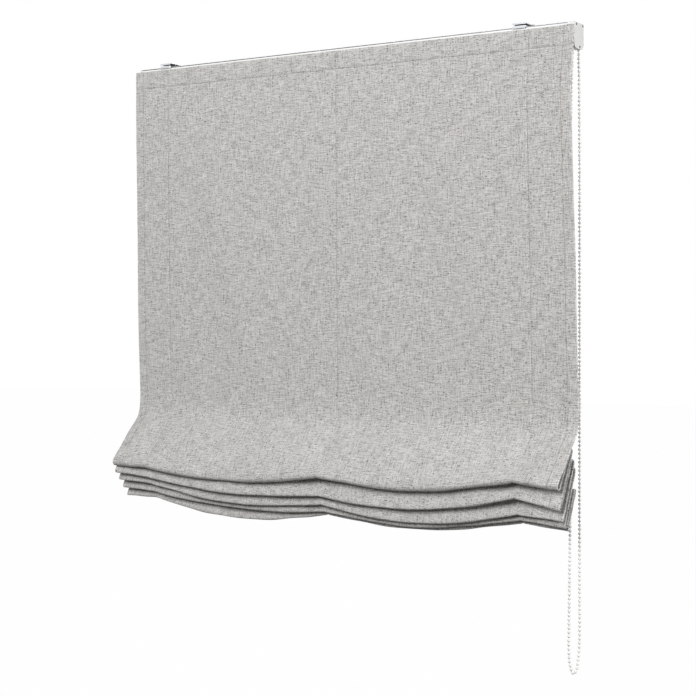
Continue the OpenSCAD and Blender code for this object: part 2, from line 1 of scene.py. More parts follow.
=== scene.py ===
"""Chain-operated Roman blind: cloth, bead chain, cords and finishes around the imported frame.

Lengths are in metres. The pieces are worked out in the blind's own places: u across from the
middle of the cloth, t back from the cloth's front face at the rail, and z up from the rail top.
"""

import logging
import math
from dataclasses import dataclass, replace
from enum import Enum
from functools import cache

import bmesh
import bpy
import numpy as np
from bpy.types import Material, Mesh, Node, NodeSocket, NodeTree, Object
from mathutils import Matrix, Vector


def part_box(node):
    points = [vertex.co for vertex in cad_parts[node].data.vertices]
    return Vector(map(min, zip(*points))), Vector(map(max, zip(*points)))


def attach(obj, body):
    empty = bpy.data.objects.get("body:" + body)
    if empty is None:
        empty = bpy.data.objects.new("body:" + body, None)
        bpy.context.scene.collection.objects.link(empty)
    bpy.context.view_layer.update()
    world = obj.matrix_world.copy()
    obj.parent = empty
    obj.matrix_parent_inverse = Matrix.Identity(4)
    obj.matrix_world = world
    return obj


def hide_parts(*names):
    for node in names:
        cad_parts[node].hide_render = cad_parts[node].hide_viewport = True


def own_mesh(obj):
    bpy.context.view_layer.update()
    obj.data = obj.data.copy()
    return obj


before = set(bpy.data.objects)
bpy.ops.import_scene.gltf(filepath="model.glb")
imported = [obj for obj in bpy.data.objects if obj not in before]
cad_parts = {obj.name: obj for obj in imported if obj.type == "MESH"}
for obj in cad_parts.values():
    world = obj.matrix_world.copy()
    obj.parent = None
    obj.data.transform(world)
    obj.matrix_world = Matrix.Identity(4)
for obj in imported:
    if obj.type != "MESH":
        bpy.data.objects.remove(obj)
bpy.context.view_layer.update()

# Types that recur
Array = np.ndarray
Faces = list[tuple[int, ...]]
Floats = tuple[float, ...]
Pair = tuple[float, float]
Triple = tuple[float, float, float]
Quad = tuple[float, float, float, float]

LOG = logging.getLogger("roman_blind")
MM = 0.001

# Where the blind's own places lie in the row frame
ROW_SHIFT = np.array([0.013, -0.0445, -0.006])
# Places across of the lift cords, and the names of their sides
CORDS: Triple = (-0.340, 0.0, 0.330)
SIDES: tuple[str, str, str] = ("left", "middle", "right")
# How far a rounded rim bulges, as a share of the cloth's thickness there
RIM_BULGE = 0.4
# Shortest gap between two knots of a curve, which keeps equal points apart
SHORTEST_GAP = 1e-9
# Largest power of e that is taken, since a much larger one overflows
LARGEST_POWER = 700.0
# Angle up to which no edge is sharp
ALL_SMOOTH_DEG = 180.0


class Body(Enum):
    """Bodies of the frame that the pieces ride on."""

    RAIL = "headrail_assembly"
    STACK = "fold_stack"
    LEFT_LEVER = "left_lever"
    RIGHT_LEVER = "right_lever"


class PatternSpace(Enum):
    """Where a finish takes the place of its pattern from."""

    CLOTH = "UV"
    PIECE = "Object"


def hex_colour(code: str) -> Quad:
    """Turn an sRGB hex colour into linear red, green, blue and alpha.

    Args:
        code: six hex digits after a hash sign.

    Returns:
        Four linear values from 0 to 1.
    """
    parts = [int(code[i:i + 2], 16) / 255 for i in (1, 3, 5)]
    linear = [c / 12.92 if c <= 0.04045 else ((c + 0.055) / 1.055) ** 2.4 for c in parts]
    return linear[0], linear[1], linear[2], 1.0


def add_node(
    tree: NodeTree,
    kind: str,
    links: dict | None = None,
    inputs: dict | None = None,
    **settings: object,
) -> Node:
    """Add a shader node with its settings, its socket values and its links.

    Args:
        tree: the node tree.
        kind: the node's type.
        links: output sockets by the name or number of the input that they feed.
        inputs: plain values by the name or number of their input.
        settings: properties of the node itself.

    Returns:
        The new node.
    """
    node = tree.nodes.new(kind)
    for name, value in settings.items():
        setattr(node, name, value)
    for key, value in (inputs or {}).items():
        node.inputs[key].default_value = value
    for key, socket in (links or {}).items():
        tree.links.new(socket, node.inputs[key])
    return node


# Settings of the noise of linen yarn, of its neps, of a grained surface and of drawn lines
YARN_NOISE = {"Scale": 1.0, "Detail": 2.0, "Roughness": 0.6, "Distortion": 0.25}
NEP_NOISE = {"Scale": 1.0, "Detail": 1.0, "Roughness": 0.5}
GRAIN_NOISE = {"Detail": 2.0, "Roughness": 0.5}
LINE_NOISE = {"Scale": 1.0, "Detail": 2.0}


def band_scale(size_mm: float) -> float:
    """Give the wave texture's scale for bands of a size, which repeat every pi / 10 of it."""
    return math.pi / 10 / (size_mm * MM)


@dataclass(frozen=True)
class Pattern:
    """The node tree of a material, and the shader that its pattern feeds."""

    tree: NodeTree
    shader: Node

    def place(self, space: PatternSpace) -> NodeSocket:
        """Give the place that the pattern is laid in."""
        return add_node(self.tree, "ShaderNodeTexCoord").outputs[space.value]

    def feed(self, node: Node, name: str) -> None:
        """Feed a node's result to an input of the shader."""
        self.tree.links.new(node.outputs[0], self.shader.inputs[name])

    def colour(self, value: NodeSocket, stops: tuple[tuple[float, str], ...]) -> None:
        """Colour the surface by a value.

        Args:
            value: the value, from 0 to 1.
            stops: places from 0 to 1 with their hex colours, in order.
        """
        ramp = add_node(self.tree, "ShaderNodeValToRGB", {"Fac": value})
        elements = ramp.color_ramp.elements
        while len(elements) < len(stops):
            elements.new(1.0)
        for element, (place, code) in zip(elements, stops):
            element.position = place
            element.color = hex_colour(code)
        self.feed(ramp, "Base Color")

    def gloss(self, value: NodeSocket, at_zero: float, at_one: float) -> None:
        """Set the roughness by a value, from one roughness at 0 to another at 1."""
        ends = {"To Min": at_zero, "To Max": at_one}
        self.feed(add_node(self.tree, "ShaderNodeMapRange", {"Value": value}, ends), "Roughness")

    def relief(self, height: NodeSocket, strength: float, depth_mm: float) -> None:
        """Raise the surface by a height, where 1 is the whole depth, with some strength."""
        shown = {"Strength": strength, "Distance": depth_mm * MM}
        self.feed(add_node(self.tree, "ShaderNodeBump", {"Height": height}, shown), "Normal")


@dataclass(frozen=True)
class Finish:
    """A real material and how its surface was made."""

    name: str
    colour: str
    roughness: float
    metallic: float = 0.0
    ior: float = 1.5

    @cache
    def material(self) -> Material:
        """Make the material on the first call, and let the finish lay its own pattern.

        Returns:
            The material.
        """
        material = bpy.data.materials.new(self.name)
        material.use_nodes = True
        material.diffuse_color = hex_colour(self.colour)
        tree = material.node_tree
        tree.nodes.clear()
        shader = add_node(tree, "ShaderNodeBsdfPrincipled", inputs={
            "Base Color": hex_colour(self.colour),
            "Roughness": self.roughness,
            "Metallic": self.metallic,
            "IOR": self.ior,
        })
        add_node(tree, "ShaderNodeOutputMaterial", links={"Surface": shader.outputs[0]})
        self.lay(Pattern(tree, shader))
        return material

    def lay(self, pattern: Pattern) -> None:
        """Lay nothing, for a finish with no pattern of its own."""


@dataclass(frozen=True)
class WovenLinen(Finish):
    """Linen-look polyester: grey yarn with darker and paler slubs both ways, matt and soft."""

    dark: str = "#605e5c"
    pale: str = "#e0dedc"
    # Tones of the yarn at which it is dark, plain from here, plain to here, and pale
    tones: Quad = (0.38, 0.488, 0.512, 0.60)
    # Slubs are 15 to 30 mm long and a thread wide, with a fine grain between them
    slub_length_mm: float = 20.0
    slub_width_mm: float = 0.8
    grain_mm: float = 0.8
    # Weights of the slubs across, the slubs down and the grain in the tone
    weights: Triple = (0.33, 0.28, 0.39)
    # Turning the noise in its own stretched space staggers the ends of the slubs
    stagger: float = 0.6
    # Neps are short dark dashes along a thread here and there, where their own noise is lowest
    nep_length_mm: float = 4.5
    nep_width_mm: float = 1.2
    nep_levels: Pair = (0.35, 0.28)
    nep_tone: float = -0.16
    # The real threads are 0.7 mm apart, drawn at 1.6 mm so that they show at this distance
    thread_mm: float = 1.6
    thread_height_mm: float = 0.22
    thread_weight: float = 0.5
    strength: float = 0.45
    sheen: float = 0.12
    sheen_roughness: float = 0.5
    space: PatternSpace = PatternSpace.CLOTH

    def yarn(self, tree: NodeTree, place: NodeSocket) -> NodeSocket:
        """Lay the slubs both ways, and the grain between them.

        Args:
            tree: the material's node tree.
            place: the place on the cloth.

        Returns:
            The tone of the yarn, around a half.
        """
        length, width = 1 / (self.slub_length_mm * MM), 1 / (self.slub_width_mm * MM)
        grain = 1 / (self.grain_mm * MM)
        scales = ((length, width, 1), (width, length, 1), (grain, grain, 1))
        turns = (self.stagger, self.stagger, 0.0)
        total: NodeSocket | None = None
        for scale, turn, weight in zip(scales, turns, self.weights):
            mapped = add_node(
                tree, "ShaderNodeMapping", {"Vector": place},
                {"Scale": scale, "Rotation": (0, 0, turn)},
            )
            noise = add_node(
                tree, "ShaderNodeTexNoise", {"Vector": mapped.outputs[0]}, YARN_NOISE,
                noise_dimensions="2D",
            )
            links = {0: noise.outputs[0]} if total is None else {0: noise.outputs[0], 2: total}
            total = add_node(
                tree, "ShaderNodeMath", links, {1: weight, 2: 0.0}, operation="MULTIPLY_ADD",
            ).outputs[0]
        return total

    def neps(self, tree: NodeTree, place: NodeSocket) -> NodeSocket:
        """Lay the neps.

        Args:
            tree: the material's node tree.
            place: the place on the cloth.

        Returns:
            What the neps add to the tone.
        """
        dash = (1 / (self.nep_length_mm * MM), 1 / (self.nep_width_mm * MM), 1)
        along = add_node(tree, "ShaderNodeMapping", {"Vector": place}, {"Scale": dash})
        noise = add_node(
            tree, "ShaderNodeTexNoise", {"Vector": along.outputs[0]}, NEP_NOISE,
            noise_dimensions="2D",
        )
        plain, full = self.nep_levels
        return add_node(tree, "ShaderNodeMapRange", {"Value": noise.outputs[0]}, {
            "From Min": plain, "From Max": full, "To Min": 0.0, "To Max": self.nep_tone,
        }).outputs[0]

    def lay(self, pattern: Pattern) -> None:
        """Weave the slubs, the grain, the neps and the threads into colour and bump.

        Args:
            pattern: where the weave is laid.
        """
        tree = pattern.tree
        place = pattern.place(self.space)
        if self.space is PatternSpace.PIECE:
            turned = {"Rotation": (math.radians(-90), 0, 0)}
            place = add_node(tree, "ShaderNodeMapping", {"Vector": place}, turned).outputs[0]
        yarn = self.yarn(tree, place)
        tone = add_node(
            tree, "ShaderNodeMath", {0: yarn, 1: self.neps(tree, place)}, operation="ADD",
        )
        colours = (self.dark, self.colour, self.colour, self.pale)
        pattern.colour(tone.outputs[0], tuple(zip(self.tones, colours)))
        across, down = (
            add_node(
                tree, "ShaderNodeTexWave", {"Vector": place},
                {"Scale": band_scale(self.thread_mm)}, bands_direction=axis,
            ).outputs[1]
            for axis in ("X", "Y")
        )
        woven = add_node(tree, "ShaderNodeMath", {0: across, 1: down}, operation="MULTIPLY")
        height = add_node(
            tree, "ShaderNodeMath", {0: woven.outputs[0], 2: yarn}, {1: self.thread_weight},
            operation="MULTIPLY_ADD",
        )
        pattern.relief(height.outputs[0], self.strength, self.thread_height_mm)
        pattern.shader.inputs["Sheen Weight"].default_value = self.sheen
        pattern.shader.inputs["Sheen Roughness"].default_value = self.sheen_roughness


@dataclass(frozen=True)
class RibbedTape(Finish):
    """Woven narrow tape: close ribs across its length, with a faint shimmer of plain yarn."""

    rib_mm: float = 1.2
    rib_height_mm: float = 0.15
    shade: str = "#c4c2be"
    # Where between two ribs the shade ends and the plain colour starts
    turns: Pair = (0.1, 0.7)
    unevenness: float = 0.6
    strength: float = 0.4

    def lay(self, pattern: Pattern) -> None:
        """Lay ribs across the tape, in colour and bump.

        Args:
            pattern: where the ribs are laid.
        """
        ribs = add_node(
            pattern.tree, "ShaderNodeTexWave", {"Vector": pattern.place(PatternSpace.PIECE)},
            {"Scale": band_scale(self.rib_mm), "Distortion": self.unevenness}, bands_direction="Z",
        ).outputs[1]
        pattern.colour(ribs, tuple(zip(self.turns, (self.shade, self.colour))))
        pattern.relief(ribs, self.strength, self.rib_height_mm)


@dataclass(frozen=True)
class GrainedSurface(Finish):
    """Moulded plastic or baked paint: a fine even grain, and a slow drift of tone and gloss."""

    shade: str = "#dcdcd9"
    grain_mm: float = 0.6
    grain_height_mm: float = 0.02
    drift_mm: float = 35.0
    roughness_swing: float = 0.06
    # Where in the drift the shade ends and the colour starts
    turns: Pair = (0.3, 0.6)
    strength: float = 0.3

    def lay(self, pattern: Pattern) -> None:
        """Add the grain to the bump and the drift to colour and gloss.

        Args:
            pattern: where the grain is laid.
        """
        place = pattern.place(PatternSpace.PIECE)
        drift, grain = (
            add_node(
                pattern.tree, "ShaderNodeTexNoise", {"Vector": place},
                {"Scale": 1 / (size * MM), **GRAIN_NOISE},
            ).outputs[0]
            for size in (self.drift_mm, self.grain_mm)
        )
        swing = self.roughness_swing
        pattern.colour(drift, tuple(zip(self.turns, (self.shade, self.colour))))
        pattern.gloss(drift, self.roughness + swing, self.roughness - swing)
        pattern.relief(grain, self.strength, self.grain_height_mm)


@dataclass(frozen=True)
class DrawnMetal(Finish):
    """Plated or bare metal: bright, with fine lines along the way it was rolled or drawn."""

    metallic: float = 1.0
    line_mm: float = 0.4
    line_length_mm: float = 20.0
    line_depth_mm: float = 0.01
    roughness_swing: float = 0.05
    strength: float = 0.1

    def lay(self, pattern: Pattern) -> None:
        """Draw the lines in gloss and bump.

        Args:
            pattern: where the lines are drawn.
        """
        along, over = 1 / (self.line_length_mm * MM), 1 / (self.line_mm * MM)
        mapped = add_node(
            pattern.tree, "ShaderNodeMapping", {"Vector": pattern.place(PatternSpace.PIECE)},
            {"Scale": (along, over, over)},
        )
        lines = add_node(
            pattern.tree, "ShaderNodeTexNoise", {"Vector": mapped.outputs[0]}, LINE_NOISE,
        ).outputs[0]
        swing = self.roughness_swing
        pattern.gloss(lines, self.roughness - swing, self.roughness + swing)
        pattern.relief(lines, self.strength, self.line_depth_mm)


# Grey linen-look cloth: even mid grey from afar, streaked with dark and pale slubs close by
LINEN = WovenLinen("woven_linen_look_polyester", "#c2c0be", 0.88)
LINEN_HUNG = replace(LINEN, name="woven_linen_look_polyester_hung", space=PatternSpace.PIECE)
# Sewing thread: a shade darker than the cloth, with the soft gloss of twisted polyester
THREAD = GrainedSurface(
    "spun_polyester_thread", "#7f7d7a", 0.6, shade="#716e6b", grain_mm=0.4, drift_mm=6,
)
# Ring tape on the back of the cloth: white ribbed ribbon
TAPE = RibbedTape("woven_polyester_tape", "#dddbd7", 0.75)
# Hook and loop tapes: white, with a dense matt pile
HOOK_TAPE = GrainedSurface(
    "woven_nylon_hook_tape", "#ecebe8", 0.85, shade="#d2d1cd", grain_mm=1.5,
    grain_height_mm=0.4, drift_mm=4,
)
# Headrail: baked white powder coat, satin with the faintest orange peel
POWDER_COAT = GrainedSurface(
    "powder_coated_aluminium", "#f3f3f1", 0.38, shade="#ebebe8", grain_mm=1.4,
    grain_height_mm=0.03,
)
# Control unit, end cap, spools and cradles: white moulded plastic with a spark-eroded grain
WHITE_ABS = GrainedSurface(
    "moulded_white_abs", "#e2e2e0", 0.42, ior=1.53, shade="#dadad8", grain_mm=0.5,
)
# Beads: glossier, faintly warm moulded plastic
BEAD_ACETAL = GrainedSurface(
    "moulded_white_acetal", "#ecebe7", 0.3, ior=1.48, shade="#e1e0db", grain_mm=0.8,
    grain_height_mm=0.01,
)
# Rings and releases: clear-white moulded nylon, a little greyer than the beads
RING_NYLON = GrainedSurface(
    "moulded_natural_nylon", "#e6e5e0", 0.35, ior=1.53, shade="#d9d8d2", grain_mm=0.5,
)
# Levers: near-black moulded nylon with a soft sheen
DARK_NYLON = GrainedSurface(
    "moulded_glass_filled_nylon", "#2b2b2d", 0.45, ior=1.53, shade="#222224", grain_mm=0.5,
)
# Screw heads: small, near black, with a dull metal glint
BLACK_STEEL = DrawnMetal("blackened_steel", "#2c2c2e", 0.38, line_mm=0.2, line_length_mm=0.6)
# Inside of a bracket, between its plate and its foot: near black, a painted shade for the shadowed
# gap under the plate
SHADE_IN_BRACKET = DrawnMetal("painted_shade_in_bracket", "#1f1f21", 0.55)
# Groove along the rail: dull dark grey metal, a painted shade for the shadow line in the groove
SHADE_IN_GROOVE = DrawnMetal("painted_shade_in_rail_groove", "#6d6f72", 0.42)
# Brackets: bright nickel-chrome plate on pressed steel, almost a mirror
CHROME = DrawnMetal("chrome_plated_steel", "#d5d8dc", 0.14, roughness_swing=0.03)
# Shaft: zinc-plated bar, duller and greyer than the brackets
ZINC = DrawnMetal("zinc_plated_steel", "#a9abae", 0.34)
# Brake spring: drawn spring wire, darker and faintly bright
SPRING_STEEL = DrawnMetal("drawn_spring_steel", "#8f9194", 0.3, line_mm=0.2, line_length_mm=3)
# Cords: white braided polyester, matt with a fine herringbone
BRAID = RibbedTape("braided_polyester_cord", "#f2f1ec", 0.7, rib_mm=1.0, shade="#d9d7d0")


def in_row(points: Array) -> Array:
    """Move points from the blind's own places to the row frame."""
    return points + ROW_SHIFT


def unit(vectors: Array) -> Array:
    """Scale rows of vectors to length one."""
    return vectors / np.linalg.norm(vectors, axis=-1, keepdims=True)


def run_of(line: Array) -> Array:
    """Give the length run along a line at each of its points."""
    return np.concatenate([[0.0], np.cumsum(np.linalg.norm(np.diff(line, axis=0), axis=1))])


def at_run(values: Array, run: Array, places: Array) -> Array:
    """Read rows of values, one for each point of a line, at lengths along it."""
    return np.stack([np.interp(places, run, values[:, k]) for k in range(values.shape[1])], axis=1)


def repeat_faces(faces: Faces, points: int, count: int) -> Faces:
    """Repeat the faces of a small shape, with so many points, for a count of copies."""
    return [tuple(i + copy * points for i in face) for copy in range(count) for face in faces]


def link_object(name: str, mesh: Mesh) -> Object:
    """Put a mesh in the scene.

    Args:
        name: the piece's name.
        mesh: its mesh, in the row frame.

    Returns:
        The new object.
    """
    piece = bpy.data.objects.new(name, mesh)
    bpy.context.scene.collection.objects.link(piece)
    return piece


def near_cords(u: Array, width: float) -> Array:
    """Give 1 at each lift cord, which falls off to 0 over a width."""
    return np.max([np.exp(-((u - c) / width) ** 2) for c in CORDS], axis=0)


def soft_step(values: Array) -> Array:
    """Go softly from 1 to 0 as values go from below 0 to above it."""
    return 1 / (1 + np.exp(np.minimum(values, LARGEST_POWER)))


def straight_back(points: Array) -> Array:
    """Give a direction straight back for each point."""
    return np.zeros_like(points) + (0.0, 1.0, 0.0)


def between(x: Array, y: Array, start: Array, end: Array, t: Array) -> Array:
    """Go from one set of points to another while a value goes from start to end."""
    return (end - t) / (end - start) * x + (t - start) / (end - start) * y


def smooth_through(points: Array, steps: list[int]) -> Array:
    """Run a centripetal curve through rows of points.

    Args:
        points: control points, as columns by points by axes.
        steps: how many steps each span between two points gets.

    Returns:
        Points of the curves, as columns by rows by axes.
    """
    first = 2 * points[:, :1] - points[:, 1:2]
    last = 2 * points[:, -1:] - points[:, -2:-1]
    p = np.concatenate([first, points, last], axis=1)
    rows = []
    for i, count in enumerate(steps):
        a, b, c, d = (p[:, i + k] for k in range(4))
        knots = [np.zeros((len(p), 1))]
        for q, r in ((a, b), (b, c), (c, d)):
            gap = np.linalg.norm(r - q, axis=1, keepdims=True)
            knots.append(knots[-1] + np.sqrt(np.maximum(gap, SHORTEST_GAP)))
        t0, t1, t2, t3 = knots
        for k in range(count):
            t = t1 + (t2 - t1) * k / count
            a1, a2 = between(a, b, t0, t1, t), between(b, c, t1, t2, t)
            a3 = between(c, d, t2, t3, t)
            b1, b2 = between(a1, a2, t0, t2, t), between(a2, a3, t1, t3, t)
            rows.append(between(b1, b2, t1, t2, t))
    rows.append(points[:, -1])
    return np.stack(rows, axis=1)


@dataclass
class MeshParts:
    """Points and faces of one piece, gathered before its mesh is made."""

    points: Array
    faces: Faces

    def joined(self, other: "MeshParts") -> "MeshParts":
        """Join another part on."""
        moved = [tuple(i + len(self.points) for i in face) for face in other.faces]
        return MeshParts(np.concatenate([self.points, other.points]), self.faces + moved)

    def piece(
        self, name: str, finishes: tuple[Finish, ...], sharp_deg: float = ALL_SMOOTH_DEG,
        first_faces: int | None = None,
    ) -> Object:
        """Make a smooth-shaded piece in the row frame.

        Args:
            name: the piece's name.
            finishes: the finish of its first faces, and that of the rest if it has two.
            sharp_deg: edges that turn by more than this stay sharp.
            first_faces: how many faces get the first finish, or all of them.

        Returns:
            The new object.
        """
        mesh = bpy.data.meshes.new(name)
        mesh.from_pydata(in_row(self.points).tolist(), [], self.faces)
        mesh.polygons.foreach_set("use_smooth", [True] * len(mesh.polygons))
        if sharp_deg < ALL_SMOOTH_DEG:
            mesh.set_sharp_from_angle(angle=math.radians(sharp_deg))
        mesh.update()
        for finish in finishes:
            mesh.materials.append(finish.material())
        index = np.zeros(len(mesh.polygons), dtype=np.int32)
        index[len(index) if first_faces is None else first_faces:] = 1
        mesh.polygons.foreach_set("material_index", index)
        return link_object(name, mesh)


def tube_parts(line: Array, radius: Array) -> MeshParts:
    """Sweep a closed tube along a line that nowhere runs straight across.

    Args:
        line: points of its middle line.
        radius: radii at each point, as points by sides.

    Returns:
        The tube, with closed ends.
    """
    count, sides = radius.shape
    along = unit(np.gradient(line, axis=0))
    across = unit(np.cross(along, (1.0, 0.0, 0.0)))
    up = np.cross(across, along)
    turn = np.arange(sides) * 2 * math.pi / sides
    cos, sin = np.cos(turn)[None, :, None], np.sin(turn)[None, :, None]
    ring = across[:, None] * cos + up[:, None] * sin
    points = (line[:, None] + ring * radius[:, :, None]).reshape(-1, 3)
    faces: Faces = []
    for i in range(count - 1):
        for k in range(sides):
            a, b = i * sides + k, i * sides + (k + 1) % sides
            faces.append((a, a + sides, b + sides, b))
    faces.append(tuple(range(sides)))
    faces.append(tuple((count - 1) * sides + k for k in reversed(range(sides))))
    return MeshParts(points, faces)


@dataclass(frozen=True)
class StitchRow:
    """A row of lockstitch: short rounded threads that lie half sunk in the cloth."""

    pitch: float = 4.0 * MM
    length: float = 3.0 * MM
    # The real thread is half as thick, drawn coarser so that the seams show at this distance
    radius: float = 0.36 * MM
    sides: int = 6
    # Thickness of a stitch along its length, as shares of length and radius
    sections: tuple[Pair, ...] = ((-0.45, 0.8), (0.0, 1.0), (0.45, 0.8))
    tip: float = 0.58

    def template(self) -> tuple[Array, Faces]:
        """Shape one stitch.

        Returns:
            Points as shares along, outward and sideways, and the faces.
        """
        turn = np.arange(self.sides) * 2 * math.pi / self.sides
        points = [(-self.tip, 0.0, 0.0)]
        for share, swell in self.sections:
            points += [(share, swell * math.cos(a), swell * math.sin(a)) for a in turn]
        points.append((self.tip, 0.0, 0.0))
        last = len(points) - 1
        faces: Faces = []
        for k in range(self.sides):
            n = (k + 1) % self.sides
            faces.append((0, 1 + n, 1 + k))
            for ring in range(len(self.sections) - 1):
                a = 1 + ring * self.sides
                faces.append((a + k, a + n, a + n + self.sides, a + k + self.sides))
            faces.append((last - self.sides + k, last - self.sides + n, last))
        return np.array(points), faces

    def parts(self, line: Array, outward: Array) -> MeshParts:
        """Sew along a line.

        Args:
            line: points on the cloth's face.
            outward: directions out of the face at those points.

        Returns:
            All the stitches of the row.
        """
        run = run_of(line)
        places = np.arange(self.pitch, run[-1] - self.pitch, self.pitch)
        centre, out = at_run(line, run, places), at_run(outward, run, places)
        step = self.pitch / 4
        ahead = unit(at_run(line, run, places + step) - at_run(line, run, places - step))
        out = unit(out - ahead * np.sum(out * ahead, axis=1, keepdims=True))
        side = np.cross(ahead, out)
        shape, faces = self.template()
        points = (
            centre[:, None]
            + ahead[:, None] * shape[None, :, :1] * self.length
            + out[:, None] * shape[None, :, 1:2] * self.radius
            + side[:, None] * shape[None, :, 2:] * self.radius
        )
        return MeshParts(points.reshape(-1, 3), repeat_faces(faces, len(shape), len(places)))


def span_at(places: Array, place: float) -> tuple[int, float]:
    """Give the end of the span that holds a place, and the place's share along that span."""
    i = int(np.clip(np.searchsorted(places, place), 1, len(places) - 1))
    return i, (place - places[i - 1]) / (places[i] - places[i - 1])


@dataclass
class ClothGrid:
    """Middle surface of a stretch of cloth, as columns across and rows down."""

    across: Array
    middle: Array
    behind: Array
    run: Array
    front_offset: Array
    back_offset: Array

    def face(self, side: int) -> Array:
        """Give the front face (-1) or the back face (1) as columns by rows by axes."""
        offset = self.back_offset if side > 0 else self.front_offset
        return self.middle + side * self.behind * offset[:, :, None]

    def sided(self, side: int) -> tuple[Array, Array]:
        """Give the points of the front face (-1) or the back face (1), and the ways out of it."""
        return self.face(side), side * self.behind

    def rim(self) -> list[tuple[int, int]]:
        """List the columns and rows around the edge.

        Returns:
            Pairs of column and row, from the top left once around.
        """
        m, n = self.run.shape
        top, right = [(c, 0) for c in range(m)], [(m - 1, i) for i in range(1, n)]
        bottom = [(c, n - 1) for c in range(m - 2, -1, -1)]
        return top + right + bottom + [(0, i) for i in range(n - 2, 0, -1)]

    def parts(self, round_top: bool, round_bottom: bool) -> MeshParts:
        """Close the two faces with a rounded rim.

        Args:
            round_top: whether the top edge is a free, rounded edge.
            round_bottom: whether the bottom edge is.

        Returns:
            The closed sheet.
        """
        m, n = self.run.shape
        front, back = self.face(-1), self.face(1)
        rim = self.rim()
        bulge = []
        for c, i in rim:
            out = np.zeros(3)
            if c in (0, m - 1):
                out[0] = 1.0 if c else -1.0
            if i == 0 and round_top:
                out += self.middle[c, 0] - self.middle[c, 1]
            # A bottom corner is rounded downwards rather than sideways
            if i == n - 1 and round_bottom:
                out += (self.middle[c, -1] - self.middle[c, -2]) / MM
            size = np.linalg.norm(out)
            depth = np.linalg.norm(back[c, i] - front[c, i]) * RIM_BULGE
            middle = (front[c, i] + back[c, i]) / 2
            bulge.append(middle + (out / size * depth if size > 0 else out))
        points = np.concatenate([front.reshape(-1, 3), back.reshape(-1, 3), np.array(bulge)])
        far, edge = m * n, 2 * m * n
        faces: Faces = []
        for c in range(m - 1):
            for i in range(n - 1):
                a = c * n + i
                quad = (a, a + 1, a + n + 1, a + n)
                faces.append(quad)
                faces.append(tuple(k + far for k in reversed(quad)))
        for k, (c, i) in enumerate(rim):
            e, g = rim[(k + 1) % len(rim)]
            a, b = c * n + i, e * n + g
            p, q = edge + k, edge + (k + 1) % len(rim)
            faces.append((a, b, q, p))
            faces.append((p, q, b + far, a + far))
        return MeshParts(points, faces)

    def cloth_places(self, start: float) -> Array:
        """Give each point's place on the flat cloth, for the weave.

        Args:
            start: height in the row frame at which the stretch begins.

        Returns:
            Places in metres, in the order of the points of parts().
        """
        across = np.repeat(self.across[:, None], self.run.shape[1], axis=1) + ROW_SHIFT[0]
        flat = np.stack([across, start - self.run], axis=2)
        edge = np.array([flat[c, i] for c, i in self.rim()])
        return np.concatenate([flat.reshape(-1, 2), flat.reshape(-1, 2), edge])

    def down_line(self, u: float, side: int) -> tuple[Array, Array]:
        """Give points down a face at one place across, and their outward directions."""
        c, share = span_at(self.across, u)
        return tuple(a[c - 1] + (a[c] - a[c - 1]) * share for a in self.sided(side))

    def across_line(self, run: float, side: int) -> tuple[Array, Array]:
        """Give points across a face at one length down, and their outward directions."""
        spans = [(c, *span_at(column, run)) for c, column in enumerate(self.run)]
        return tuple(np.array([
            a[c, i - 1] + (a[c, i] - a[c, i - 1]) * share for c, i, share in spans
        ]) for a in self.sided(side))


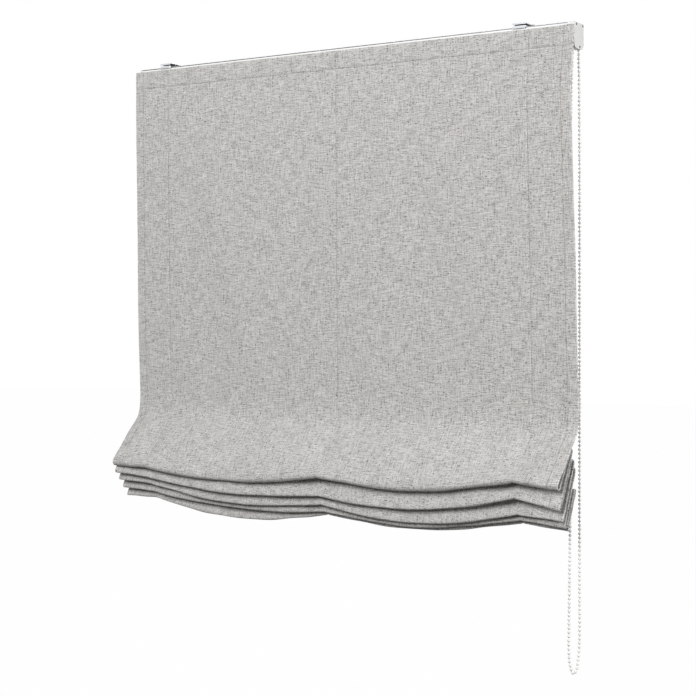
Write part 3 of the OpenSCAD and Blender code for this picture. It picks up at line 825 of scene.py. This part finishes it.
@dataclass
class ShadeCloth:
    """The cloth: hung flat from the hook tape, then lying in four soft folds and a hem."""

    width: float = 0.800
    thickness: float = 1.0 * MM
    top: float = -0.005
    drop: float = 0.545
    lean: float = 0.005
    # The upper cloth hangs even, since it passes in front of the hook tape when the blind is
    # raised, and the ripple grows over a length below it
    taut: float = 0.130
    ripple_growth: float = 0.12
    stack_height: float = 0.171
    stack_reach: float = 0.058
    swag: float = 0.020
    bend: float = 2.6 * MM
    front_bend: float = 6.0 * MM
    # The first fold opens a little more towards the left-hand edge
    ear_opening: float = 2.0 * MM
    loop_at_cord: float = 5.1 * MM
    cord_pull: float = 0.045
    # Width of the side hems, their extra thickness, how softly they end, and their stitches
    hem: float = 0.017
    hem_turn: float = 1.3 * MM
    hem_end: float = 0.35 * MM
    hem_stitch: float = 1.5 * MM
    bottom_hem: float = 0.024
    bottom_hem_end: float = 0.5 * MM
    # Length left below the flat stretch, which lies well above the bottom hem
    clear_of_hem: float = 1.0
    lift_travel: float = 0.45
    heading_seam: float = 0.028
    # Rows of stitches that hold the ring tapes, and the length over which they start
    tape_seams: Triple = (-0.332, 0.0, 0.330)
    tape_seam_start: float = 0.02
    seam_width: float = 1.5 * MM
    seam_depth: float = 0.8 * MM
    # The cloth is drawn back where a cord gathers it, over a short width below the flat stretch
    pinch: float = 4.0 * MM
    pinch_width: float = 0.022
    pinch_run: Pair = (0.02, 0.15)
    # Bottom of each fold and of the hem at the left, middle and right cord
    fold_drops: tuple[Triple, ...] = (
        (0.69, 0.684, 0.62), (0.784, 0.848, 0.75), (0.848, 0.93, 0.889), (0.93, 1.0, 0.942),
        (0.994, 1.03, 0.971),
    )
    fold_reaches: Floats = (1.0, 0.86, 0.7, 0.53, 0.36)
    # How far each sags in the left and right bay, and beyond the left and right cord
    fold_sags: tuple[Pair, ...] = (
        (0.7, 0.75), (0.55, 0.9), (0.75, 1.0), (0.55, 0.8), (1.0, 0.8),
    )
    ear_sags: tuple[Pair, ...] = (
        (0.05, 0.3), (-0.25, 0.65), (-0.15, 0.3), (-0.15, 0.25), (0.05, 0.3),
    )
    loop_drops: Floats = (0.345, 0.444, 0.509, 0.678)
    loop_reaches: Floats = (0.24, 0.155, 0.07, 0.0)
    flare_drops: Floats = (0.06, 0.14, 0.225, 0.37, 0.49)
    flare_reaches: Floats = (-0.09, -0.075, 0.0, 0.39, 0.68)
    # Directions from the middle of a bend to its points, where the cloth turns up and down
    low_bend_deg: tuple[int, ...] = (180, 225, 270, 315, 360)
    hem_bend_deg: tuple[int, ...] = (180, 225, 270)
    high_bend_deg: tuple[int, ...] = (180, 135, 90, 45, 0)
    # Points along the leg between two bends, and the steps of a leg's span and of a bend's
    leg_shares: Pair = (0.33, 0.67)
    leg_steps: int = 5
    bend_steps: int = 2
    front_bend_steps: int = 3
    # How far the edges of the flat cloth wander to the right, from the top down
    left_wander: tuple[Pair, ...] = (
        (-0.005, 0.0), (-0.060, 0.0), (-0.213, 0.0012), (-0.387, 0.0024), (-0.545, 0.0047),
    )
    right_wander: tuple[Pair, ...] = (
        (-0.005, -0.001), (-0.054, -0.0046), (-0.084, -0.0074), (-0.183, -0.0053),
        (-0.324, -0.0021), (-0.465, 0.001), (-0.545, 0.0030),
    )
    wander_fade: float = 0.13
    # Half the width over which a ring tape holds the cloth even
    tape_hold: float = 0.030
    # Soft unevenness of hung cloth: height, waves across and down, and their starts
    ripples: tuple[tuple[float, float, float, float, float], ...] = (
        (0.0009, 0.23, 0.61, 0.4, 1.1), (0.0006, 0.113, 0.37, 2.0, 0.3),
        (0.0004, 0.071, 0.19, 4.4, 2.6),
    )
    # Even columns and rows, with more of them near the edges, the cords and the heading seam
    column_count: int = 109
    row_count: int = 118
    near_edge_mm: Floats = (1.2, 2.6, 6, 11, 15.5, 16.6, 17.4, 18.5, 21)
    near_cord_mm: Floats = (0, 2, 4, 5, 6, 7, 9, 12, 16)
    near_seam_mm: Floats = (-3, -2, -1, 0, 1, 2, 3)
    closest_columns: float = 0.75 * MM
    # Rows that agree to a hundredth of a millimetre count as one
    row_digits: int = 5
    sharp_deg: float = 75.0

    def columns(self) -> Array:
        """Give the places across, closer together at the hems and the cords.

        Returns:
            Places from the left-hand edge to the right-hand edge.
        """
        half = self.width / 2
        places = list(np.linspace(-half, half, self.column_count))
        for side in (-1, 1):
            places += [side * (half - d * MM) for d in self.near_edge_mm]
            places += [c + side * d * MM for c in CORDS for d in self.near_cord_mm]
        kept = [-half]
        for u in sorted(places):
            if u - kept[-1] > self.closest_columns:
                kept.append(u)
        kept[-1] = half
        return np.array(kept)

    def ripple(self, u: Array, s: Array) -> Array:
        """Give the unevenness of the cloth.

        Args:
            u: places across.
            s: lengths down from the top edge.

        Returns:
            Heights out of the even surface, towards the back.
        """
        total = np.zeros(np.broadcast(u, s).shape)
        for height, wave_u, wave_s, start_u, start_s in self.ripples:
            across = np.sin(2 * math.pi * u / wave_u + start_u)
            down = np.sin(2 * math.pi * s / wave_s + start_s)
            total += height * (across * down)
        growth = np.clip((s - self.taut) / self.ripple_growth, 0, 1)
        return total * (1 - near_cords(u, self.tape_hold)) * growth

    def leaning(self, s: Array) -> Array:
        """Give the lean towards the back, which starts below the taut upper cloth."""
        length = self.drop + self.top
        return self.lean * np.clip((s - self.taut) / (length - self.taut), 0, 1)

    def seams(self, u: Array, s: Array) -> Array:
        """Give the shallow grooves along the seams.

        Args:
            u: places across.
            s: lengths down from the top edge.

        Returns:
            Depths towards the back.
        """
        depth, width, start = self.seam_depth, self.seam_width, self.tape_seam_start
        groove = depth * np.exp(-((s - self.heading_seam) / width) ** 2) * np.ones_like(u)
        sewn = np.clip((s - start) / start, 0, 1)
        for seam in self.tape_seams:
            groove = groove + depth * np.exp(-((u - seam) / width) ** 2) * sewn
        return groove

    def wander(self, u: Array, z: Array) -> Array:
        """Give the sideways wander of the cloth, which grows towards its edges.

        Args:
            u: places across.
            z: heights.

        Returns:
            Shifts to the right.
        """
        total = np.zeros(u.shape)
        for side, table in ((-1, self.left_wander), (1, self.right_wander)):
            heights, shifts = np.array(table).T
            edge = np.interp(-z, -heights, shifts)
            total += edge * np.clip(side * u / (self.width / 2), 0, 1) ** 2
        return total

    def offsets(self, u: Array, left: Array) -> tuple[Array, Array]:
        """Give the cloth's offsets from its middle surface, with the hems turned to the back.

        Args:
            u: places across, as columns by rows.
            left: lengths still left to the bottom edge, as columns by rows.

        Returns:
            Offsets of the front face and of the back face.
        """
        inward = self.width / 2 - np.abs(u)
        side = soft_step((inward - self.hem) / self.hem_end)
        bottom = soft_step((left - self.bottom_hem) / self.bottom_hem_end)
        front = np.full(u.shape, self.thickness / 2)
        return front, self.thickness / 2 + self.hem_turn * np.maximum(side, bottom)

    def flat_grid(self) -> ClothGrid:
        """Hang the flat stretch from the hook tape.

        Returns:
            Its grid, from the top edge to the start of the folds.
        """
        u = self.columns()
        rows = np.unique(np.round(np.concatenate([
            np.linspace(self.top, -self.drop, self.row_count),
            self.top - self.heading_seam + np.array(self.near_seam_mm) * MM,
        ]), self.row_digits))[::-1]
        uu, zz = np.meshgrid(u, rows, indexing="ij")
        s = self.top - zz
        depth = self.thickness / 2 + self.leaning(s) + self.ripple(uu, s) + self.seams(uu, s)
        middle = np.stack([uu + self.wander(uu, zz), depth, zz], axis=2)
        front, back = self.offsets(uu, np.full(uu.shape, self.clear_of_hem))
        return ClothGrid(u, middle, straight_back(middle), s, front, back)

    def fold_bottom(self, k: int, u: Array) -> Array:
        """Give the height of the bottom of a fold.

        Args:
            k: the fold, counted from the front, the hem last.
            u: places across.

        Returns:
            Heights.
        """
        half = self.width / 2
        low = np.interp(u, CORDS, self.fold_drops[k])
        dip = np.zeros_like(u)
        for bay, sag in enumerate(self.fold_sags[k]):
            share = (u - CORDS[bay]) / (CORDS[bay + 1] - CORDS[bay])
            inside = (share >= 0) & (share <= 1)
            dip = np.where(inside, sag * np.sin(math.pi * np.clip(share, 0, 1)), dip)
        left, right = self.ear_sags[k]
        dip = np.where(u < CORDS[0], left * (CORDS[0] - u) / (half + CORDS[0]), dip)
        dip = np.where(u > CORDS[2], right * (u - CORDS[2]) / (half - CORDS[2]), dip)
        return -self.drop - low * self.stack_height - dip * self.swag

    def bend_low(self, k: int, u: Array, angles: tuple[int, ...]) -> list[Array]:
        """Turn the cloth up at the bottom of a fold.

        Args:
            k: the fold, counted from the front, the hem last.
            u: places across.
            angles: directions from the middle of the bend, in degrees.

        Returns:
            Points of the bend in depth and height, one block for each angle.
        """
        z = self.fold_bottom(k, u)
        ear = np.clip((CORDS[0] - u) / (self.width / 2 + CORDS[0]), 0, 1)
        opened = self.front_bend + self.ear_opening * ear
        radius = self.bend * np.ones_like(u) if k else opened
        y = radius - self.bend - self.fold_reaches[k] * self.stack_reach
        return [np.stack([
            y + radius * math.cos(math.radians(a)),
            z + radius * (1 + math.sin(math.radians(a))),
        ], axis=1) for a in angles]

    def bend_high(self, k: int, u: Array) -> list[Array]:
        """Turn the cloth down again at the loop behind a fold.

        Args:
            k: the fold, counted from the front.
            u: places across.

        Returns:
            Points of the bend in depth and height, one block for each angle.
        """
        free = -self.loop_reaches[k] * self.stack_reach
        y = free + (self.loop_at_cord - free) * near_cords(u, self.cord_pull)
        z = -self.drop - self.loop_drops[k] * self.stack_height
        return [np.stack([
            y + self.bend * math.cos(math.radians(a)),
            (z - self.bend * (1 - math.sin(math.radians(a)))) * np.ones_like(u),
        ], axis=1) for a in self.high_bend_deg]

    def folded_lines(self, u: Array) -> tuple[Array, list[int]]:
        """Fold the lower stretch, column by column.

        Args:
            u: places across.

        Returns:
            Control points in depth and height, and the steps of each span.
        """
        one = np.ones_like(u)
        points = [np.stack([(self.lean + self.thickness / 2) * one, -self.drop * one], axis=1)]
        steps: list[int] = []
        for drop, reach in zip(self.flare_drops, self.flare_reaches):
            height = -self.drop - drop * self.stack_height
            points.append(np.stack([-reach * self.stack_reach * one, height * one], axis=1))
            steps.append(self.leg_steps)
        hem = len(self.loop_drops)
        bends: list[tuple[list[Array], int]] = []
        for k in range(hem):
            inner = self.bend_steps if k else self.front_bend_steps
            bends.append((self.bend_low(k, u, self.low_bend_deg), inner))
            bends.append((self.bend_high(k, u), self.bend_steps))
        bends.append((self.bend_low(hem, u, self.hem_bend_deg), self.bend_steps))
        for order, (bend, inner) in enumerate(bends):
            start = points[-1]
            if order:
                points.extend(start + (bend[0] - start) * share for share in self.leg_shares)
                steps.extend([self.leg_steps] * len(self.leg_shares))
            steps.append(self.leg_steps)
            points.extend(bend)
            steps.extend([inner] * (len(bend) - 1))
        return np.stack(points, axis=1), steps

    def pinched(self, u: Array, run: Array) -> Array:
        """Give the hollow in the first fold where each cord draws the cloth back.

        Args:
            u: places across.
            run: lengths down from the end of the flat stretch.

        Returns:
            Depths towards the back.
        """
        first, last = self.pinch_run
        share = np.clip((run - first) / (last - first), 0, 1)
        return self.pinch * near_cords(u, self.pinch_width) * np.sin(math.pi * share) ** 2

    def folded_grid(self) -> ClothGrid:
        """Lay the lower stretch in its folds.

        Returns:
            Its grid, from the end of the flat stretch to the hem.
        """
        u = self.columns()
        line = smooth_through(*self.folded_lines(u))
        along = unit(np.gradient(line, axis=1))
        flat = np.zeros(line.shape[:2])
        behind = np.stack([flat, -along[:, :, 1], along[:, :, 0]], axis=2)
        behind[:, 0] = (0.0, 1.0, 0.0)
        run = np.stack([run_of(column) for column in line])
        uu = np.repeat(u[:, None], line.shape[1], axis=1)
        s = self.drop + self.top + run
        height = self.ripple(uu, s) + self.seams(uu, s) + self.pinched(uu, run)
        fade = np.clip(1 - run / self.wander_fade, 0, 1)
        wander = self.wander(uu, np.full(uu.shape, -self.drop)) * fade
        even = np.stack([uu + wander, line[:, :, 0], line[:, :, 1]], axis=2)
        front, back = self.offsets(uu, run[:, -1:] - run)
        return ClothGrid(u, even + behind * height[:, :, None], behind, run, front, back)

    def sewn_piece(
        self, name: str, grid: ClothGrid, seams: list[MeshParts], start: float,
        rounded: tuple[bool, bool], finish: Finish,
    ) -> Object:
        """Make a stretch of cloth with its stitches.

        Args:
            name: the piece's name.
            grid: its middle surface.
            seams: rows of stitches.
            start: height in the row frame at which its weave begins.
            rounded: whether its top and its bottom edge are free edges.
            finish: the cloth's finish.

        Returns:
            The new object.
        """
        parts = grid.parts(*rounded)
        places = grid.cloth_places(start)
        cloth_faces = len(parts.faces)
        for seam in seams:
            parts = parts.joined(seam)
        piece = parts.piece(name, (finish, THREAD), self.sharp_deg, cloth_faces)
        mesh = piece.data
        corner = np.zeros(len(mesh.loops), dtype=np.int32)
        mesh.loops.foreach_get("vertex_index", corner)
        padded = np.zeros((len(parts.points), 2))
        padded[:len(places)] = places
        mesh.uv_layers.new(name="cloth").data.foreach_set("uv", padded[corner].ravel())
        return piece

    def build(self, tapes: list[Object]) -> None:
        """Hang and fold the cloth, sew it, and tie it to the frame.

        Args:
            tapes: the ring tapes on its back; not used.
        """
        sew = StitchRow()
        edge = self.width / 2 - self.hem + self.hem_stitch
        flat = self.flat_grid()
        rows = [sew.parts(*flat.across_line(self.heading_seam, -1))]
        rows += [sew.parts(*flat.down_line(u, -1)) for u in (-edge, edge, *self.tape_seams)]
        top_row = self.top + ROW_SHIFT[2]
        panel = self.sewn_piece("flat_cloth", flat, rows, top_row, (True, False), LINEN_HUNG)
        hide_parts("shade_panel")
        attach(panel, Body.RAIL.value)
        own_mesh(panel)

        folded = self.folded_grid()
        rows = [sew.parts(*folded.down_line(u, -1)) for u in (-edge, edge)]
        folds = self.sewn_piece(
            "folded_cloth", folded, rows, -self.drop + ROW_SHIFT[2], (False, True), LINEN)
        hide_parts("shade_folds")
        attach(folds, Body.STACK.value)


@dataclass
class RingTapes:
    """Ribbed tapes sewn up the back of the flat cloth, which carry the rings."""

    width: float = 14.0 * MM
    thickness: float = 0.8 * MM
    top: float = -0.026
    bottom: float = -0.545
    # Room for the pile of the cloth, which keeps the tape behind it when both are drawn up
    pile: float = 0.4 * MM
    # Columns as shares of the width, and how much thinner the tape is beyond a share at each side
    shares: Floats = (0, 0.04, 0.12, 0.3, 0.5, 0.7, 0.88, 0.96, 1.0)
    thinned: float = 0.35
    thin_from: float = 0.45
    row_count: int = 100
    sharp_deg: float = 80.0

    def build(self, cloth: ShadeCloth) -> list[Object]:
        """Lay each tape on the back of the cloth.

        Args:
            cloth: the cloth that carries the tapes.

        Returns:
            The three tapes.
        """
        made = []
        outward = np.array(self.shares) - 0.5
        rows = np.linspace(self.top, self.bottom, self.row_count)
        lies = cloth.thickness + self.pile + self.thickness / 2
        for name, cord in zip(SIDES, CORDS):
            u = cord + outward * self.width
            uu, zz = np.meshgrid(u, rows, indexing="ij")
            s = cloth.top - zz
            depth = cloth.leaning(s) + cloth.ripple(uu, s) + cloth.seams(uu, s)
            middle = np.stack([uu, lies + depth, zz], axis=2)
            half = np.full(uu.shape, self.thickness / 2)
            thin = half * (1 - self.thinned * (np.abs(outward) > self.thin_from))[:, None]
            grid = ClothGrid(u, middle, straight_back(middle), s - s[0, 0], half, thin)
            tape = grid.parts(True, True).piece(f"woven_tape_{name}", (TAPE,), self.sharp_deg)
            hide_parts(f"ring_tape_{name}")
            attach(tape, Body.RAIL.value)
            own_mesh(tape)
            made.append(tape)
        LOG.info("ring tapes: %d", len(made))
        return made


@dataclass
class LiftCords:
    """Braided cords from the spools down through the rings to their releases."""

    diameter: float = 1.2 * MM
    depth: float = 12.5 * MM
    top: float = -0.02255
    sides: int = 12
    step: float = 1.5 * MM
    # The braid's diamonds are 2.4 mm long, drawn in relief with a tenth of the radius
    braid: float = 2.4 * MM
    strands: int = 3
    relief: float = 0.1
    sharp_deg: float = 70.0

    def build(self, travel: float) -> None:
        """Braid the three cords and tie them to the lift.

        Args:
            travel: how far the folds rise; not used.
        """
        turn = self.strands * (np.arange(self.sides) * 2 * math.pi / self.sides)[None, :]
        for name, u in zip(SIDES, CORDS):
            node = f"lift_cord_{name}"
            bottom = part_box(node)[0].z - ROW_SHIFT[2]
            length = self.top - bottom
            heights = np.linspace(self.top, bottom, int(length / self.step) + 1)
            across, back = np.full_like(heights, u), np.full_like(heights, self.depth)
            line = np.stack([across, back, heights], axis=1)
            wind = 2 * math.pi * heights[:, None] / self.braid
            weave = np.cos(turn + wind) * np.cos(turn - wind)
            radius = self.diameter / 2 * (1 - self.relief * (0.5 - 0.5 * weave))
            tube = tube_parts(line, radius)
            cord = tube.piece(f"braided_cord_{name}", (BRAID,), self.sharp_deg)
            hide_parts(node)
            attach(cord, Body.RAIL.value)
            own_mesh(cord)
            LOG.info("lift cord %s: %.3f m", name, length)


@dataclass
class BeadChain:
    """The operating chain: beads moulded on a cord, hanging in one loop behind the cloth."""

    bead: float = 4.5 * MM
    pitch: float = 6.0 * MM
    cord: float = 1.1 * MM
    cord_sides: int = 6
    steps: int = 3
    rings: int = 9
    segments: int = 14
    # Middle of the chain wheel, and the loop's route from it: across, back, and down from the
    # rail top
    wheel: Triple = (0.393, 0.0195, 0.0)
    route: tuple[Triple, ...] = (
        (0, -0.0095, -0.024), (-0.0006, -0.0095, -0.040), (-0.0025, -0.0092, -0.080),
        (-0.004, -0.0085, -0.150), (-0.005, -0.008, -0.300), (-0.0055, -0.0075, -0.450),
        (-0.0055, -0.007, -0.560), (-0.0055, -0.0065, -0.640), (-0.006, -0.0065, -0.720),
        (-0.007, -0.0065, -0.800), (-0.008, -0.006, -0.860), (-0.0085, -0.005, -0.895),
        (-0.0075, -0.003, -0.914), (-0.0055, 0, -0.924), (-0.0035, 0.0035, -0.926),
        (-0.0015, 0.007, -0.919), (0, 0.0095, -0.902), (0.001, 0.011, -0.875),
        (0.001, 0.011, -0.800), (0.001, 0.011, -0.650), (0.001, 0.011, -0.500),
        (0.001, 0.011, -0.350), (0.001, 0.011, -0.200), (0.0006, 0.010, -0.080),
        (0, 0.0095, -0.040), (0, 0.0095, -0.024),
    )

    def line(self) -> Array:
        """Run the smooth curve of the chain through its route.

        Returns:
            Points of the curve in the blind's own places.
        """
        route = np.array(self.route) + np.array(self.wheel)
        count = len(route)
        points = []
        for i in range(count - 1):
            a, b, c, d = (route[np.clip(i + k, 0, count - 1)] for k in (-1, 0, 1, 2))
            square = 2 * a - 5 * b + 4 * c - d
            cube = 3 * b - a - 3 * c + d
            for k in range(self.steps):
                s = k / self.steps
                points.append((2 * b + (c - a) * s + square * s * s + cube * s ** 3) / 2)
        points.append(route[-1])
        return np.array(points)

    def bead_parts(self, places: Array) -> MeshParts:
        """Make the round beads.

        Args:
            places: their centres.

        Returns:
            All the beads.
        """
        rise = np.linspace(0, math.pi, self.rings)[1:-1]
        turn = np.arange(self.segments) * 2 * math.pi / self.segments
        ball = np.stack([
            np.outer(np.sin(rise), np.cos(turn)), np.outer(np.sin(rise), np.sin(turn)),
            np.repeat(np.cos(rise)[:, None], self.segments, axis=1),
        ], axis=2).reshape(-1, 3)
        ball = np.concatenate([ball, [[0, 0, 1.0], [0, 0, -1.0]]]) * self.bead / 2
        high, low, n = len(ball) - 2, len(ball) - 1, self.segments
        last = (self.rings - 3) * n
        faces: Faces = []
        for k in range(n):
            m = (k + 1) % n
            faces.append((high, k, m))
            for r in range(0, last, n):
                faces.append((r + k, r + n + k, r + n + m, r + m))
            faces.append((last + k, low, last + m))
        points = (places[:, None] + ball[None]).reshape(-1, 3)
        return MeshParts(points, repeat_faces(faces, len(ball), len(places)))

    def build(self) -> None:
        """String the beads on their cord and hang the chain."""
        line = self.line()
        run = run_of(line)
        length = float(run[-1])
        count = int((length - self.bead) / self.pitch) + 1
        centres = self.bead / 2 + self.pitch * np.arange(count)
        at = np.unique(np.concatenate([[0.0], centres, centres + self.pitch / 2, [length]]))
        cord_line = at_run(line, run, at[at <= length])
        cord_radius = np.full((len(cord_line), self.cord_sides), self.cord / 2)
        beads = self.bead_parts(at_run(line, run, centres))
        strung = beads.joined(tube_parts(cord_line, cord_radius))
        chain = strung.piece(
            "bead_chain", (BEAD_ACETAL, BRAID), first_faces=len(beads.faces))
        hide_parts("chain_cord", "chain_beads")
        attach(chain, Body.RAIL.value)
        LOG.info("bead chain: %d beads on %.3f m", count, length)


# Nodes that stay as the frame has them, by finish
PLAIN_NODES: dict[Finish, tuple[str, ...]] = {
    HOOK_TAPE: ("hook_tape", "loop_tape"),
    BLACK_STEEL: ("cover_screws",),
    WHITE_ABS: (
        "clutch_hub", "chain_wheel",
        *(f"{kind}_{side}" for kind in ("cradle", "spool") for side in SIDES),
    ),
    SPRING_STEEL: ("brake_spring",),
    ZINC: ("drive_shaft",),
    RING_NYLON: ("upper_rings", "lower_rings", "fold_rings", "cord_releases"),
    CHROME: ("lever_rivet_left", "lever_rivet_right"),
    BRAID: tuple(f"wound_cord_{side}" for side in SIDES),
}
# Finish, body and slot of each node whose edges are softened
SOFT_NODES: dict[str, tuple[Finish, Body, str]] = {
    "headrail": (POWDER_COAT, Body.RAIL, "rail_paint"),
    "left_end_cap": (WHITE_ABS, Body.RAIL, "white_plastic"),
    "control_housing": (WHITE_ABS, Body.RAIL, "white_plastic"),
    "control_cover": (WHITE_ABS, Body.RAIL, "white_plastic"),
    "bracket_left": (CHROME, Body.RAIL, "chrome"),
    "bracket_right": (CHROME, Body.RAIL, "chrome"),
    "bracket_lever_left": (DARK_NYLON, Body.LEFT_LEVER, "lever_plastic"),
    "bracket_lever_right": (DARK_NYLON, Body.RIGHT_LEVER, "lever_plastic"),
}


@dataclass
class Hardware:
    """Rail, brackets, control unit and lift gear: the frame's own nodes, finished or softened."""

    # Size and steps of a softened edge, and the angle from which an edge is softened
    edge: float = 0.35 * MM
    edge_steps: int = 2
    edge_profile: float = 0.5
    corner_deg: float = 35.0
    # Points closer than this are one, and faces that turn less than this are one
    weld: float = 1e-6
    flat_deg: float = 0.5
    # Groove in the rail's front, from its upper to its lower edge below the rail top, whose faces
    # get the painted shade
    groove_span: Pair = (0.4 * MM, 1.9 * MM)
    groove_depth: float = 0.8 * MM
    # Space in a bracket, between its plate and its foot, and the lip in front of it; the faces in
    # that space get the painted shade
    plate_span: Pair = (1.4 * MM, 4.2 * MM)
    lip: float = 0.9 * MM

    def soft_copy(self, node: str, name: str) -> Object:
        """Copy a node's mesh and round its sharp edges a little.

        Args:
            node: the frame's node.
            name: the new piece's name.

        Returns:
            The new object.
        """
        shape = bmesh.new()
        shape.from_mesh(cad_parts[node].data)
        bmesh.ops.remove_doubles(shape, verts=shape.verts, dist=self.weld)
        bmesh.ops.dissolve_limit(
            shape, angle_limit=math.radians(self.flat_deg), verts=shape.verts,
            edges=shape.edges, delimit=set())
        limit = math.radians(self.corner_deg)
        sharp = [e for e in shape.edges if e.is_manifold and e.calc_face_angle(0.0) > limit]
        bmesh.ops.bevel(
            shape, geom=sharp, offset=self.edge, offset_type="OFFSET", segments=self.edge_steps,
            profile=self.edge_profile, affect="EDGES", clamp_overlap=True)
        for face in shape.faces:
            face.smooth = True
        mesh = bpy.data.meshes.new(name)
        shape.to_mesh(mesh)
        shape.free()
        mesh.materials.clear()
        mesh.set_sharp_from_angle(angle=limit)
        piece = link_object(name, mesh)
        even = piece.modifiers.new("even_normals", "WEIGHTED_NORMAL")
        even.keep_sharp = True
        return piece

    def painted_shade_faces(self, node: str) -> tuple[Finish, Vector, Vector] | None:
        """Give the painted shade of a node's recess, and the box that holds the faces it darkens.

        Args:
            node: the frame's node.

        Returns:
            The painted shade's finish and two corners in the row frame, or nothing for a node
            without one.
        """
        low, high = (Vector(corner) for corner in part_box(node))
        if node == "headrail":
            groove = Vector((high.x, low.y + self.groove_depth, high.z - self.groove_span[0]))
            return SHADE_IN_GROOVE, Vector((low.x, low.y, high.z - self.groove_span[1])), groove
        if node.startswith("bracket_") and "lever" not in node:
            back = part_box("headrail")[1].y + self.edge
            inside = Vector((low.x, low.y + self.lip, high.z - self.plate_span[1]))
            return SHADE_IN_BRACKET, inside, Vector((high.x, back, high.z - self.plate_span[0]))
        return None

    def build(self) -> None:
        """Finish every node of the hardware."""
        for finish, nodes in PLAIN_NODES.items():
            for node in nodes:
                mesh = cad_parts[node].data
                mesh.materials.clear()
                mesh.materials.append(finish.material())
                LOG.info("%s: %s", node, finish.name)
        for node, (finish, body, slot) in SOFT_NODES.items():
            piece = self.soft_copy(node, f"soft_{node}")
            piece.data.materials.append(finish.material())
            # The rail's groove and the gap in a bracket get a dark finish, a painted shade where
            # the recess lies in shadow
            inner = self.painted_shade_faces(node)
            if inner:
                shade_finish, low, high = inner
                piece.data.materials.append(shade_finish.material())
                for face in piece.data.polygons:
                    inside = all(a <= c <= b for a, c, b in zip(low, face.center, high))
                    face.material_index = int(inside)
            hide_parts(node)
            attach(piece, body.value)
            LOG.info("%s: %s, softened", node, finish.name)


@dataclass
class Studio:
    """Pale floor, soft light and the camera."""

    camera_place: Triple = (1.2719, -2.0153, -0.4296)
    camera_turn_deg: float = 32.1
    lens_mm: float = 78.05
    shift_y: float = -0.0388
    floor_height: float = -1.25
    floor_size: float = 24.0
    # The floor gives back little light, and is shown almost white
    floor_colour: str = "#666664"
    floor_whiteness: float = 0.99
    white: str = "#ffffff"
    ambient: float = 0.12
    light_size: float = 1.6
    light_aim: Triple = (0.0, 0.0, -0.4)
    # Place and power of the light in front, of the one behind, and of the one at the control end
    key: Quad = (0.1, -3.0, 1.0, 99.0)
    fill: Quad = (-1.4, 2.6, 0.9, 86.0)
    side: Quad = (2.8, -0.2, 0.1, 52.0)

    def shown_ray(self, tree: NodeTree) -> NodeSocket:
        """Tell the rays that see the background from those that only carry light.

        Args:
            tree: the node tree that asks.

        Returns:
            A value of 1 for camera, glossy and transmission rays, and else 0.
        """
        path = add_node(tree, "ShaderNodeLightPath")
        seen = path.outputs["Is Camera Ray"]
        for kind in ("Is Glossy Ray", "Is Transmission Ray"):
            either = {0: seen, 1: path.outputs[kind]}
            seen = add_node(tree, "ShaderNodeMath", either, operation="MAXIMUM").outputs[0]
        return seen

    def build_world(self) -> None:
        """Light the room evenly, and show it white."""
        world = bpy.data.worlds.new("studio")
        bpy.context.scene.world = world
        world.use_nodes = True
        tree = world.node_tree
        tree.nodes.clear()
        light, shown = (
            add_node(tree, "ShaderNodeBackground", inputs={
                "Color": hex_colour(self.white), "Strength": strength,
            }).outputs[0]
            for strength in (self.ambient, 1.0)
        )
        mix = add_node(
            tree, "ShaderNodeMixShader", {0: self.shown_ray(tree), 1: light, 2: shown})
        add_node(tree, "ShaderNodeOutputWorld", {"Surface": mix.outputs[0]})

    def build_floor(self) -> None:
        """Lay a pale floor, which keeps a trace of the shadow."""
        half = self.floor_size / 2
        mesh = bpy.data.meshes.new("floor")
        corners = [(-half, -half), (half, -half), (half, half), (-half, half)]
        mesh.from_pydata([(x, y, self.floor_height) for x, y in corners], [], [(0, 1, 2, 3)])
        floor = link_object("floor", mesh)
        material = bpy.data.materials.new("painted_white_floor")
        material.use_nodes = True
        tree = material.node_tree
        tree.nodes.clear()
        matt = add_node(
            tree, "ShaderNodeBsdfDiffuse", inputs={"Color": hex_colour(self.floor_colour)})
        glow = add_node(
            tree, "ShaderNodeEmission",
            inputs={"Color": hex_colour(self.white), "Strength": 1.0})
        share = add_node(
            tree, "ShaderNodeMath", {0: self.shown_ray(tree)}, {1: self.floor_whiteness},
            operation="MULTIPLY")
        mix = add_node(
            tree, "ShaderNodeMixShader",
            {0: share.outputs[0], 1: matt.outputs[0], 2: glow.outputs[0]})
        add_node(tree, "ShaderNodeOutputMaterial", {"Surface": mix.outputs[0]})
        mesh.materials.append(material)

    def add_light(self, name: str, setting: Quad) -> None:
        """Hang a soft square light that looks at the blind.

        Args:
            name: the light's name.
            setting: where it hangs, and its power.
        """
        lamp = bpy.data.lights.new(name, "AREA")
        *place, lamp.energy = setting
        lamp.size = self.light_size
        light = bpy.data.objects.new(name, lamp)
        light.location = place
        aim = Vector(self.light_aim) - light.location
        light.rotation_euler = aim.to_track_quat("-Z", "Y").to_euler()
        bpy.context.scene.collection.objects.link(light)

    def build(self) -> None:
        """Set the room, the lights and the camera, and show colours as they are written."""
        self.build_world()
        self.build_floor()
        lights = {"key_light": self.key, "fill_light": self.fill, "side_light": self.side}
        for name, setting in lights.items():
            self.add_light(name, setting)
        lens = bpy.data.cameras.new("camera")
        lens.lens = self.lens_mm
        lens.shift_y = self.shift_y
        camera = bpy.data.objects.new("camera", lens)
        camera.location = self.camera_place
        camera.rotation_euler = (math.radians(90), 0.0, math.radians(self.camera_turn_deg))
        bpy.context.scene.collection.objects.link(camera)
        bpy.context.scene.camera = camera
        bpy.context.scene.view_settings.view_transform = "Standard"
        LOG.info("studio: camera at %s", self.camera_place)


def main() -> None:
    """Build in order: room and camera, chain, tapes, cloth, cords and hardware."""
    logging.basicConfig(level=logging.INFO, format="%(name)s %(message)s")
    Studio().build()
    BeadChain().build()
    cloth = ShadeCloth()
    tapes = RingTapes().build(cloth)
    cloth.build(tapes)
    LiftCords().build(cloth.lift_travel)
    Hardware().build()


if __name__ == "__main__":
    main()
